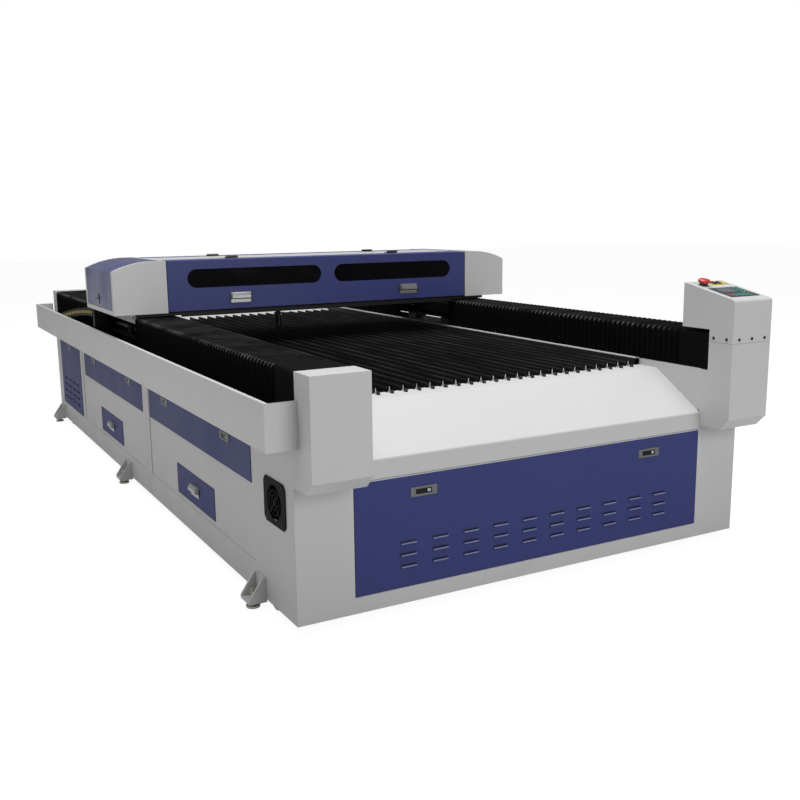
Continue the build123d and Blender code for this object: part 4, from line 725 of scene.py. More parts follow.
@dataclass
class Studio:
    """White floor and soft lamps."""

    floor_size: float = 60.0
    floor_colour: Colour = (0.86, 0.86, 0.87)
    seen_white: float = 1.3
    seen_share: float = 0.72
    glossy_share: float = 0.25
    world_strength: float = 0.3
    overhead: float = 560.0
    front: float = 195.0
    left: float = 60.0

    def lamp(self, name: str, place: Vector, aim: Vector, size: float, power: float, colour: Colour) -> None:
        """Add one soft lamp.

        Args:
            name: Its name.
            place: Where it hangs.
            aim: The point it shines at.
            size: Length of its side.
            power: Its power in watts.
            colour: Its colour.
        """
        data = bpy.data.lights.new(name, "AREA")
        data.shape = "SQUARE"
        data.size = size
        data.energy = power
        data.color = colour
        light = bpy.data.objects.new(name, data)
        light.location = place
        light.rotation_euler = (aim - place).to_track_quat("-Z", "Y").to_euler()
        bpy.context.scene.collection.objects.link(light)

    def floor(self) -> None:
        """Lay the pale floor, which the camera sees nearly white."""
        sheet = Sheet("studio_floor")
        cloud = sheet.noise(0.6, 2.0)
        colour = sheet.tint(self.floor_colour, 0.99 + cloud * 0.02)
        matt = sheet.put("ShaderNodeBsdfDiffuse", {}, {"Color": colour})
        white = sheet.put("ShaderNodeEmission", {}, {"Color": (1.0, 1.0, 1.0), "Strength": self.seen_white})
        path = sheet.put("ShaderNodeLightPath", {}, {}, "Is Camera Ray")
        glossy = Signal(sheet, path.source.node.outputs["Is Glossy Ray"])
        seen = path * self.seen_share + glossy * self.glossy_share
        mixed = sheet.put("ShaderNodeMixShader", {}, {0: seen, 1: matt, 2: white})
        output = sheet.tree.nodes["Material Output"]
        sheet.feed(output.inputs["Surface"], mixed)
        bm = bmesh.new()
        bmesh.ops.create_grid(bm, x_segments=8, y_segments=8, size=self.floor_size / 2)
        mesh = bpy.data.meshes.new("studio_floor")
        bm.to_mesh(mesh)
        bm.free()
        mesh.materials.append(sheet.material)
        floor = bpy.data.objects.new("studio_floor", mesh)
        bpy.context.scene.collection.objects.link(floor)

    def world(self) -> None:
        """Light the room evenly and show it white."""
        world = bpy.data.worlds.new("studio")
        bpy.context.scene.world = world
        world.use_nodes = True
        nodes, links = world.node_tree.nodes, world.node_tree.links
        nodes.clear()
        path = nodes.new("ShaderNodeLightPath")
        light = nodes.new("ShaderNodeBackground")
        light.inputs["Strength"].default_value = self.world_strength
        white = nodes.new("ShaderNodeBackground")
        white.inputs["Color"].default_value = (1.0, 1.0, 1.0, 1.0)
        either = nodes.new("ShaderNodeMath")
        either.operation = "MAXIMUM"
        mixed = nodes.new("ShaderNodeMixShader")
        output = nodes.new("ShaderNodeOutputWorld")
        links.new(path.outputs["Is Camera Ray"], either.inputs[0])
        links.new(path.outputs["Is Transmission Ray"], either.inputs[1])
        links.new(either.outputs[0], mixed.inputs[0])
        links.new(light.outputs[0], mixed.inputs[1])
        links.new(white.outputs[0], mixed.inputs[2])
        links.new(mixed.outputs[0], output.inputs["Surface"])

    def build(self) -> None:
        """Set up floor, world and lamps."""
        bpy.context.scene.view_settings.view_transform = "Standard"
        self.floor()
        self.world()
        middle = Vector((0.0, 0.0, 0.6))
        self.lamp("overhead", Vector((-0.5, -0.6, 6.5)), middle, 6.0, self.overhead, (1.0, 1.0, 1.0))
        self.lamp("front_fill", Vector((1.0, -8.0, 3.0)), middle, 4.0, self.front, (0.98, 0.99, 1.0))
        self.lamp("left_fill", Vector((-7.5, -0.5, 2.6)), middle, 4.0, self.left, (1.0, 0.98, 0.93))
        LOG.info("studio lit")


@dataclass
class AirHose:
    """Short hose from the arm beside the focusing tube down to its nozzle."""

    diameter: float = 0.004
    route: tuple[Vector, ...] = (
        at(-138, 2040, 753),
        at(-128, 2040, 753),
        at(-116, 2039, 757),
        at(-108, 2040, 768),
        at(-105, 2040, 784),
        at(-105, 2040, 796),
    )

    def build(self) -> None:
        """Lay the hose on one smooth curve."""
        data = bpy.data.curves.new("air_hose_line", "CURVE")
        data.dimensions = "3D"
        data.bevel_depth = self.diameter / 2
        data.bevel_resolution = 5
        data.use_fill_caps = True
        line = data.splines.new("NURBS")
        line.points.add(len(self.route) - 1)
        for point, place in zip(line.points, self.route):
            point.co = (*place, 1.0)
        line.order_u = 3
        line.use_endpoint_u = True
        line.resolution_u = 12
        data.materials.append(Moulded("hose_rubber", (0.012, 0.012, 0.013), 0.42, 0.0001).make())
        hose = bpy.data.objects.new("air_hose_line", data)
        bpy.context.scene.collection.objects.link(hose)
        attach(hose, "lens")
        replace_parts(hose, "air_hose")
        LOG.info("air hose laid")


@dataclass
class Cladding:
    """Coated sheets, frame and foot brackets of the body, and the bridge's shoes."""

    white: Colour = (0.72, 0.725, 0.735)
    grey: Colour = (0.63, 0.63, 0.622)
    black: Colour = (0.006, 0.006, 0.0065)
    screw_radius: float = 0.006

    def build(self) -> None:
        """Give each coated part its finish and add its small fasteners."""
        body = PowderCoat("body_coat", self.white, floor_darkening=0.14).make()
        side = PowderCoat("side_coat", self.grey, floor_darkening=0.14).make()
        tops = PowderCoat("bright_coat", (0.75, 0.755, 0.76), rough=0.52, floor_darkening=0.0, gloss=0.3).make()
        Workshop.dress("front_fascia", body)
        # Painted highlight: a bright line along the lit top edge of the frame's ledge.
        ledge = Region(at(-952, 280, 132.5), at(-946.5, 3690, 138), (0.95, 0.95, 0.93), 0.0)
        Workshop.dress("base_frame", PowderCoat("frame_coat", self.grey, floor_darkening=0.14, regions=(ledge,)).make())
        Workshop.dress("foot_brackets", PowderCoat("bracket_coat", (0.95, 0.94, 0.91), floor_darkening=0.1).make())
        for node in ("side_cladding_left", "side_cladding_right", "rear_panel"):
            Workshop.dress(node, side)
        for node in ("front_apron", "rear_deck", "rear_rail_covers"):
            Workshop.dress(node, tops)
        for node in ("pod_left", "pod_right"):
            Workshop.dress(node, body)
        Workshop.dress("cable_tray", side)
        seam = Region(at(740, -150, 811), at(960, -29, 815.2), (0.3, 0.3, 0.3), 0.0)
        Workshop.dress("control_box_cover", PowderCoat("box_coat", self.white, regions=(seam,)).make())
        cheek = tuple(
            Region(at(x - 7, 0, 500), at(x + 7, 343, 706.4), self.white, 0.0) for x in (-746, 746)
        )
        beams = PowderCoat("rail_beam_coat", self.black, rough=0.5, floor_darkening=0.0, regions=cheek)
        Workshop.dress("rail_beams", beams.make())
        # Painted shade: the shoes below the carriage plates are coloured black where shade falls under the
        # bridge.
        painted_shade_under_bridge = Region(at(-960, 1790, 700), at(960, 2400, 819.9), self.black, 0.0)
        bracket = Region(at(-1045, 2290, 700), at(-960, 2345, 867.9), self.black, 0.0)
        shoes = PowderCoat("shoe_coat", self.white, rough=0.5, floor_darkening=0.0, gloss=0.12, regions=(painted_shade_under_bridge, bracket))
        Workshop.dress("carriage_plates", shoes.make())
        self.fasteners()
        LOG.info("cladding coated")

    def fasteners(self) -> None:
        """Add the screws of the control box and of the carriages."""
        bm = bmesh.new()
        for x in (784, 850, 918):
            Workshop.screw(bm, at(x, -144, 829), FRONT, self.screw_radius)
        for depth in (-52, -115):
            Workshop.screw(bm, at(750, depth, 829), LEFT, self.screw_radius)
            Workshop.screw(bm, at(950, depth, 829), RIGHT, self.screw_radius)
        steel = BareMetal("screw_steel", (0.05, 0.05, 0.055), 0.4).make()
        Workshop.piece("cover_screws", bm, [steel], "base", "zinc_steel")
        bm = bmesh.new()
        for depth in (1862, 2362):
            Workshop.screw(bm, at(-950, depth, 846), LEFT, self.screw_radius)
            Workshop.screw(bm, at(950, depth, 846), RIGHT, self.screw_radius)
        Workshop.piece("carriage_screws", bm, [steel], "gantry", "zinc_steel")


@dataclass
class Panels:
    """Blue doors, panels and drawers of the body with their latches and handles."""

    blue: Colour = (0.034, 0.042, 0.155)
    plate: Colour = (0.16, 0.165, 0.16)
    shade: Colour = (0.012, 0.012, 0.013)
    bright: Colour = (0.42, 0.43, 0.46)
    # Painted highlight of the louvres' lips and painted shade of their slopes.
    lip_highlight: Colour = (0.2, 0.21, 0.36)
    slope_shade: Colour = (0.008, 0.009, 0.03)
    proud: float = 8.0
    skin: float = 0.05
    louvre_pitch: float = 40.0
    lip_top: float = 0.8
    side_length: float = 1306.0
    side_starts: tuple[float, float] = (372.0, 1800.0)
    latch_inset: float = 262.0
    latch_height: float = 522.0
    drawer_centres: tuple[float, float] = (1030.0, 2480.0)
    pull_half: float = 59.0
    plate_half: float = 49.2

    def latch(self, x: float, depth: float, z: float, front: bool) -> tuple[Region, ...]:
        """Bare plate, painted shade in its recess and bright knob of one latch.

        Args:
            x: Its place across the machine.
            depth: Its place behind the body's front.
            z: Its height.
            front: Whether it faces the front.

        Returns:
            The regions that differ from the coat.
        """

        def patch(along: float, half: float, tall: float, colour: Colour) -> Region:
            """A patch of the latch, off its middle by a distance along the panel."""
            if front:
                low = at(x + along - half, depth - self.proud, z - tall)
                high = at(x + along + half, depth - self.skin, z + tall)
            else:
                low = at(x - self.proud, depth - along - half, z - tall)
                high = at(x - self.skin, depth - along + half, z + tall)
            return Region(low, high, colour, 0.5)

        return (
            patch(0, 51, 17, self.plate),
            # Painted shade in the latch's recess.
            patch(0, 31, 9, self.shade),
            patch(20, 6, 5, self.bright),
        )

    def louvres(
        self, x: tuple[float, float], depth: tuple[float, float], lowest: float, rows: int
    ) -> tuple[Region, ...]:
        """Painted highlight on the lower lip and painted shade on the upper slope of the pressed louvres.

        Args:
            x: Limits across the machine.
            depth: Limits behind the body's front.
            lowest: Height of the lowest row.
            rows: Number of rows.

        Returns:
            The regions that differ from the coat.
        """
        bands = []
        for row in range(rows):
            z = lowest + row * self.louvre_pitch
            edge = z + self.lip_top
            lip_highlight = at(x[0], depth[0] - 0.8, z - 3.5), at(x[1], depth[1], edge)
            slope = at(x[0], depth[0], edge), at(x[1], depth[1], z + 8)
            # Painted highlight on the lip, painted shade on the slope above it.
            bands.append(Region(*lip_highlight, self.lip_highlight, 0.0))
            bands.append(Region(*slope, self.slope_shade, 0.0))
        return tuple(bands)

    @staticmethod
    def grip(low: Vector, high: Vector) -> tuple[Region, ...]:
        """Bright plate and hood of a pull, the painted shade in its mouth and its dark ears.

        Args:
            low: Lowest corner of the pull.
            high: Highest corner.

        Returns:
            The regions that differ from the coat.
        """
        middle = (low + high) / 2
        along = 0 if high.x - low.x > high.y - low.y else 1
        mouth_low, mouth_high = low.copy(), high.copy()
        mouth_low.z, mouth_high.z = middle.z - 8.5 * MM, middle.z - 2.8 * MM
        metal = Region(low, high, (0.62, 0.62, 0.62))
        # Painted shade in the mouth under the hood.
        mouth_shade = Region(mouth_low, mouth_high, (0.02, 0.02, 0.02), 0.0)
        ears = []
        for side in (-1, 1):
            ear_low, ear_high = low.copy(), high.copy()
            if side < 0:
                ear_high[along] = middle[along] - Panels.plate_half * MM
            else:
                ear_low[along] = middle[along] + Panels.plate_half * MM
            ears.append(Region(ear_low, ear_high, (0.03, 0.03, 0.03), 0.0))
        return (metal, mouth_shade, *ears)

    def coat(self, node: str, regions: tuple[Region, ...]) -> None:
        """Coat one panel.

        Args:
            node: Its CAD node.
            regions: The regions that differ from the coat.
        """
        finish = PowderCoat(node + "_coat", self.blue, rough=0.5, gloss=0.2, regions=regions)
        Workshop.dress(node, finish.make())

    def build(self) -> None:
        """Coat every moving panel."""
        front = self.latch(-491, -1, 408, True) + self.latch(491, -1, 408, True)
        front += self.louvres((-620, 620), (-6.9, -1.15), 161, 3)
        edge = Region(at(-760, -5, 465), at(760, 30, 470), (0.5, 0.5, 0.52), 0.0)
        self.coat("front_access_panel", (*front, edge))
        height = self.latch_height
        for node, start in zip(("side_panel_front", "side_panel_rear"), self.side_starts):
            near = self.latch(-949, start + self.latch_inset, height, False)
            far = self.latch(-949, start + self.side_length - self.latch_inset, height, False)
            self.coat(node, near + far)
        tall = self.latch(-951, 3535, height, False)
        tall += self.louvres((-956.9, -951.15), (3300, 3780), 190, 4)
        self.coat("tall_side_door", tall)
        for node, centre in zip(("scrap_drawer_front", "scrap_drawer_rear"), self.drawer_centres):
            low, high = at(-970, centre - self.pull_half, 197), at(-949.05, centre + self.pull_half, 247)
            box = Region(at(-943.9, centre - 240, 150), at(-140, centre + 240, 300), (0.42, 0.42, 0.41), 0.8)
            self.coat(node, (*self.grip(low, high), box))
        LOG.info("panels coated")


@dataclass
class Bed:
    """Slats, their supports and the funnels below them."""

    slat_count: int = 25
    slat_pitch: float = 55.6
    ledge: float = 679.9
    stop_top: float = 690.5

    def build(self) -> None:
        """Finish the bed's metal and add the stops, and the bright pins that are painted highlights, at the
        slats' front ends.
        """
        Workshop.dress("bed_slats", BurntSteel("slat_steel").make())
        Workshop.dress("slat_supports", BurntSteel("support_steel", edge_height=0.9).make())
        lips = Region(at(-760, 330, 706.4), at(760, 3260, 712), (0.72, 0.72, 0.73), 0.2)
        hopper = PowderCoat("hopper_sheet", (0.012, 0.012, 0.013), rough=0.55, floor_darkening=0.0, regions=(lips,))
        Workshop.dress("scrap_hopper", hopper.make())
        self.clips()
        LOG.info("bed finished")

    def clips(self) -> None:
        """Add a dark stop, and a bright pin that is a painted highlight on the slat's end, where each slat
        enters the apron.
        """
        bm = bmesh.new()
        for i in range(self.slat_count):
            x = (i - (self.slat_count - 1) / 2) * self.slat_pitch
            low, high = at(x + 2, 297, self.ledge), at(x + 11, 311, self.stop_top)
            Workshop.paint(Workshop.block(bm, low, high, 0.0008), 1)
            # The bright pin is a painted highlight on the slat's end.
            radii = (0.0032, 0.0032, 0.0024, 0.0008)
            Workshop.rod(bm, at(x + 6.5, 325, self.ledge), UP, radii, (0.0, 0.006, 0.013, 0.022), 10)
        bright = BareMetal("slat_end_highlight", (0.8, 0.8, 0.79), 0.4, Grain.UPRIGHT).make()
        dark = Moulded("stop_rubber", (0.006, 0.006, 0.007), 0.55).make()
        Workshop.piece("slat_clips", bm, [bright, dark], "base", "ground_steel")


@dataclass
class Bellows:
    """Pleated covers over both rails."""

    pitch: float = 30.0
    collar: float = 120.0
    hem: float = 3.0
    inset: float = 0.86
    sink: float = 0.9
    foot: float = 707.5
    top: float = 848.0
    corner: float = 13.0
    soften: float = 0.3
    middle: float = 850.0
    half: float = 99.5
    wall: float = 0.0012
    mark: float = 1.0

    def ring(self, bm: bmesh.types.BMesh, side: int, depth: float, layer: object) -> list:
        """Start one run with the outline of its first fold.

        Args:
            bm: The mesh that is worked on.
            side: Minus one for the left rail, one for the right.
            depth: Where the run starts.
            layer: The layer that marks the outer folds.

        Returns:
            The edges of the outline.
        """
        soft = self.corner * self.soften
        outer = [
            (self.half, self.foot),
            (self.half, (self.foot + self.top) / 2),
            (self.half, self.top - self.corner),
            (self.half - soft, self.top - soft),
            (self.half - self.corner, self.top),
        ]
        outline = [*outer, (0.0, self.top), *((-x, z) for x, z in reversed(outer))]
        verts = [bm.verts.new(at(side * (self.middle + x), depth, z)) for x, z in outline]
        for vert in verts:
            vert[layer] = self.mark
        return [bm.edges.new(pair) for pair in zip(verts, verts[1:])]

    def run(self, bm: bmesh.types.BMesh, side: int, start: float, end: float, layer: object) -> None:
        """Grow one run from its start to its end, with a plain collar before the first pleat.

        Args:
            bm: The mesh that is worked on.
            side: Minus one for the left rail, one for the right.
            start: Where the run starts.
            end: Where it ends.
            layer: The layer that marks the outer folds.
        """
        edges = self.ring(bm, side, start, layer)
        first = max(start, self.collar)
        count = round((end - first) / self.pitch)
        pitch = (end - first) / count
        slope = (pitch - self.hem * 1.4) / 2
        steps = [(self.hem, 0), (slope, -1), (self.hem * 0.4, 0), (slope, 1)] * count
        if first > start:
            steps.insert(0, (first - start, 0))
        for step, fold in steps:
            grown = bmesh.ops.extrude_edge_only(bm, edges=edges)["geom"]
            verts = [g for g in grown if isinstance(g, bmesh.types.BMVert)]
            fresh = [g for g in grown if isinstance(g, bmesh.types.BMEdge)]
            edges = [e for e in fresh if all(v in verts for v in e.verts)]
            bmesh.ops.translate(bm, vec=(0, step * MM, 0), verts=verts)
            if fold:
                size = (self.inset, 1, self.sink) if fold < 0 else (1 / self.inset, 1, 1 / self.sink)
                pivot = Matrix.Translation(-at(side * self.middle, 0, self.foot))
                bmesh.ops.scale(bm, vec=size, verts=verts, space=pivot)
                self.mark = 1.0 if fold > 0 else 0.0
            for vert in verts:
                vert[layer] = self.mark

    def pair(
        self, name: str, node: str, start: float, end: float, towed: str, cloth: bpy.types.Material
    ) -> None:
        """Build the left and right runs over one stretch.

        Args:
            name: Name of the piece.
            node: The CAD node it stands for.
            start: Front end of the stretch.
            end: Rear end of the stretch.
            towed: Which end moves with the bridge, front or rear.
            cloth: Its finish.
        """
        bm = bmesh.new()
        layer = bm.verts.layers.float.new("fold")
        for side in (-1, 1):
            self.mark = 0.0 if start < self.collar else 1.0
            self.run(bm, side, start, end, layer)
        made = Workshop.piece(name, bm, [cloth], "base", "bellows_cloth", 20.0, ride=False)
        wall = made.modifiers.new("wall", "SOLIDIFY")
        wall.thickness = self.wall
        wall.offset = 0.0
        fixed, moving = (start, end) if towed == "rear" else (end, start)
        tuple(at(0, fixed, 780))
        tuple(at(0, moving, 780))
        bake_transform(made)
        near, far = at(0, fixed, 0).y, at(0, moving, 0).y
        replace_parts(made, node)

    def build(self) -> None:
        """Build all four runs."""
        cloth = FoldedCloth("bellows_cloth").make()
        self.pair("bellows_front", "front_bellows", -29.0, 1840.0, "rear", cloth)
        self.pair("bellows_rear", "rear_bellows", 2380.0, 3860.0, "front", cloth)
        LOG.info("bellows folded")


@dataclass
class CableChain:
    """Linked chain that lies in the tray and rolls over to the bridge."""

    x: float = -1002.5
    low: float = 640.0
    pitch: float = 50.0
    radius: float = 45.0
    loop: float = 3330.0
    anchor: float = 2001.0
    bracket: float = 2335.0
    bracket_height: float = 838.0
    width: float = 69.0
    height: float = 39.0
    cheek: float = 0.0045
    half_link: float = 0.0235
    bar: float = 0.002
    cap_half: tuple[float, float] = (0.01, 0.007)
    climb: float = 1.5

    @property
    def straight(self) -> float:
        """Length of the lower run."""
        return self.loop - self.anchor

    @property
    def arc(self) -> float:
        """Length of the bend."""
        return math.pi * self.radius

    @property
    def upper(self) -> float:
        """Distance that the upper run spans."""
        return self.loop - self.bracket

    def link(self, bm: bmesh.types.BMesh) -> None:
        """Build one link about the origin, lying along Y, with an amber cap on each side.

        Args:
            bm: The mesh that is worked on.
        """
        half, tall = self.width * MM / 2, self.height * MM / 2
        for side in (-1, 1):
            near, far = sorted((side * half, side * (half - self.cheek)))
            low, high = Vector((near, -self.half_link, -tall)), Vector((far, self.half_link, tall))
            Workshop.block(bm, low, high, 0.0012)
            middle = side * (tall - self.bar)
            low = Vector((-half + 0.001, -0.009, middle - self.bar))
            high = Vector((half - 0.001, 0.009, middle + self.bar))
            Workshop.block(bm, low, high, 0.0008)
        long, wide = self.cap_half
        for side in (-1, 1):
            near, far = sorted((side * (half - 0.001), side * (half + 0.0005)))
            cap = Workshop.block(bm, Vector((near, -long, -wide)), Vector((far, long, wide)), 0.0005)
            Workshop.paint(cap, 1)

    def station(self, share: float) -> tuple[Vector, float]:
        """Place and turn of a link along the chain.

        Args:
            share: Distance along the chain from its anchor.

        Returns:
            The link's middle and its turn in radians.
        """
        if share < self.straight:
            return at(self.x, self.anchor + share, self.low), 0.0
        if share < self.straight + self.arc:
            turn = (share - self.straight) / self.radius
            rise = self.low + self.radius * (1 - math.cos(turn))
            return at(self.x, self.loop + self.radius * math.sin(turn), rise), turn
        back = share - self.straight - self.arc
        high = self.low + 2 * self.radius
        left = 1 - back / self.upper
        rise = (self.bracket_height - high) * (1 - left**self.climb)
        slope = self.climb * (self.bracket_height - high) / self.upper * left ** (self.climb - 1)
        return at(self.x, self.loop - back, high + rise), math.pi - math.atan(slope)

    def build(self) -> None:
        """Build the chain."""
        bm = bmesh.new()
        layer = bm.verts.layers.float.new("run")
        total = self.straight + self.arc + self.upper
        pattern = bmesh.new()
        self.link(pattern)
        shape = bpy.data.meshes.new("chain_link_pattern")
        pattern.to_mesh(shape)
        pattern.free()
        for i in range(int(total / self.pitch)):
            share = (i + 0.5) * self.pitch
            place, turn = self.station(share)
            before = len(bm.verts)
            bm.from_mesh(shape)
            bm.verts.ensure_lookup_table()
            verts = bm.verts[before:]
            for vert in verts:
                along = share + vert.co.y / MM
                lower = 0.5 * min(max(along / self.straight, 0.0), 1.0)
                past = along - self.straight - self.arc
                vert[layer] = lower + 0.5 * min(max(past / self.upper, 0.0), 1.0)
            moved = Matrix.Translation(place) @ Matrix.Rotation(turn, 4, "X")
            bmesh.ops.transform(bm, matrix=moved, verts=verts)
        bpy.data.meshes.remove(shape)
        black = Moulded("chain_nylon", (0.012, 0.012, 0.012), 0.6, gloss=0.15).make()
        amber = Moulded("chain_cap_nylon", (0.62, 0.36, 0.06), 0.5, wear=(0.5, 0.32, 0.1), gloss=0.2).make()
        made = Workshop.piece("cable_chain", bm, [black, amber], "base", "black_plastic", ride=False)
        tuple(at(0, self.anchor, 640))
        tuple(at(0, self.bracket, 640))
        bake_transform(made)
        values = [0.0] * len(made.data.vertices)
        made.data.attributes["run"].data.foreach_get("value", values)
        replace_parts(made, "drag_chain")
        LOG.info("chain linked")


@dataclass
class Bridge:
    """Travelling bridge with its doors, lids, beam and laser tube."""

    blue: Colour = (0.034, 0.042, 0.16)
    white: Colour = (0.78, 0.785, 0.795)
    hinge_x: float = 445.0
    pull_x: float = 459.0
    tube_depth: float = 2110.0
    tube_height: float = 1005.0
    cap_half: float = 1058.0

    def build(self) -> None:
        """Finish the bridge's nodes and add its small parts."""
        blue = PowderCoat("bridge_blue_coat", self.blue, rough=0.42, floor_darkening=0.0, gloss=0.3).make()
        gloss = PowderCoat("lid_gloss_coat", self.blue, rough=0.16, floor_darkening=0.0, gloss=0.28, wave=0.03).make()
        white = PowderCoat("bridge_white_coat", self.white, rough=0.34, floor_darkening=0.0).make()
        for node in ("gantry_front_door", "gantry_rear_door"):
            Workshop.dress(node, blue)
        for node in ("end_lid_left", "end_lid_right"):
            Workshop.dress(node, gloss)
        for node in ("end_cap_left", "end_cap_right"):
            Workshop.dress(node, white)
        hinges = tuple(
            Region(at(x - 31, 1900, 1106.2), at(x + 31, 2216, 1130), (0.012, 0.012, 0.012), 0.0)
            for x in (-self.hinge_x, self.hinge_x)
        )
        strip = PowderCoat("strip_coat", self.white, rough=0.3, floor_darkening=0.0, regions=hinges)
        Workshop.dress("top_strip", strip.make())
        Workshop.dress("door_windows", SmokedPane("smoked_pane").make())
        pulls = tuple(
            region
            for x in (-self.pull_x, self.pull_x)
            for region in Panels.grip(at(x - 59, 1740, 900), at(x + 59, 1766, 950))
        )
        handles = PowderCoat("handle_metal", (0.7, 0.7, 0.7), rough=0.3, floor_darkening=0.0, regions=pulls)
        Workshop.dress("door_handles", handles.make())
        beam = PowderCoat("beam_coat", (0.006, 0.006, 0.0065), rough=0.5, floor_darkening=0.0, gloss=0.3)
        Workshop.dress("gantry_beam", beam.make())
        Workshop.dress("laser_tube", TubeGlass("tube_glass").make())
        self.tube_inner()
        self.locks()
        LOG.info("bridge finished")

    def tube_inner(self) -> None:
        """Add the bore, jacket ends and electrodes that show inside the glass tube."""
        bm = bmesh.new()
        bore = at(-700, self.tube_depth, self.tube_height)
        Workshop.rod(bm, bore, RIGHT, (0.008, 0.008), (0.0, 1.4), 20)
        radii = (0.018, 0.022, 0.022, 0.012, 0.012, 0.008)
        steps = (0.0, 0.004, 0.05, 0.058, 0.07, 0.08)
        for side in (-1, 1):
            start = at(side * 735, self.tube_depth, self.tube_height)
            Workshop.rod(bm, start, RIGHT * -side, radii, steps, 24)
        metal = BareMetal("electrode_metal", (0.5, 0.42, 0.32), 0.3, Grain.ACROSS).make()
        Workshop.piece("tube_electrodes", bm, [metal], "gantry", "ground_steel")

    def locks(self) -> None:
        """Add the key lock of each end lid."""
        for side, body in ((-1, "lid_left"), (1, "lid_right")):
            bm = bmesh.new()
            outward = Vector((side, 0, 0))
            face = at(side * self.cap_half, 2068, 927)
            low = face + Vector((min(0, side * 0.0025), -0.013, -0.025))
            high = face + Vector((max(0, side * 0.0025), 0.013, 0.025))
            Workshop.block(bm, low, high, 0.0008)
            barrel = face + outward * 0.0024 + Vector((0, 0, 0.006))
            radii = (0.0095, 0.0095, 0.008, 0.0065, 0.0065)
            Workshop.rod(bm, barrel, outward, radii, (0, 0.0035, 0.005, 0.005, 0.003))
            slot = barrel + outward * 0.0028
            slot_half = Vector((0.001, 0.001, 0.0045))
            Workshop.block(bm, slot - slot_half, slot + slot_half, 0.0003)
            metal = BareMetal("lock_metal", (0.2, 0.2, 0.2), 0.3, Grain.UPRIGHT).make()
            Workshop.piece(body + "_lock", bm, [metal], body, "zinc_steel")


@dataclass
class Drives:
    """Rails, screws, motors and the cutting head."""

    lead: float = 0.025
    screw_x: float = 900.0
    head_x: float = -162.0
    head_depth: float = 2040.0

    def build(self) -> None:
        """Finish the drives and the head."""
        ground = BareMetal("ground_rail_steel", (0.66, 0.66, 0.65), 0.2).make()
        Workshop.dress("linear_rails", ground)
        black = PowderCoat("saddle_coat", (0.01, 0.01, 0.011), rough=0.4, floor_darkening=0.0)
        Workshop.dress("rail_carriages", black.make())
        Workshop.dress("x_rail", BareMetal("cross_rail_steel", (0.66, 0.66, 0.65), 0.2, Grain.ACROSS).make())
        for node, x in (("ball_screw_left", -self.screw_x), ("ball_screw_right", self.screw_x)):
            Workshop.dress(node, Threaded(node + "_steel", at(x, 0, 776), 1, self.lead, 0.0016).make())
        Workshop.dress("x_screw", Threaded("x_screw_steel", at(0, 1990, 960), 0, self.lead, 0.001).make())
        shaft = Region(at(-990, -12.2, 690), at(990, 2, 830), (0.5, 0.5, 0.5))
        motor = PowderCoat("motor_coat", (0.015, 0.015, 0.017), floor_darkening=0.0, regions=(shaft,))
        Workshop.dress("y_motors", motor.make())
        plate = BareMetal("head_aluminium", (0.55, 0.56, 0.58), 0.36, Grain.UPRIGHT, (0.4, 0.4, 0.4))
        Workshop.dress("head_carriage", plate.make())
        tube = Moulded("anodised_black", (0.014, 0.014, 0.016), 0.34, 0.00008, 0.2)
        Workshop.dress("lens_tube", tube.make())
        self.clamp()
        LOG.info("drives finished")

    def clamp(self) -> None:
        """Add the clamp ring and its thumb screw on the focusing tube."""
        bm = bmesh.new()
        radii = (0.0142, 0.019, 0.019, 0.0142)
        ring = at(self.head_x, self.head_depth, 815)
        Workshop.rod(bm, ring, DOWN, radii, (0.0, 0.002, 0.012, 0.014), 32)
        radii = (0.003, 0.003, 0.006, 0.006, 0.005)
        thumb = at(self.head_x, self.head_depth - 17, 808)
        Workshop.rod(bm, thumb, FRONT, radii, (0.0, 0.01, 0.01, 0.018, 0.02), 16)
        knob = BareMetal("clamp_metal", (0.3, 0.3, 0.31), 0.35, Grain.UPRIGHT).make()
        Workshop.piece("tube_clamp", bm, [knob], "lens", "zinc_steel")


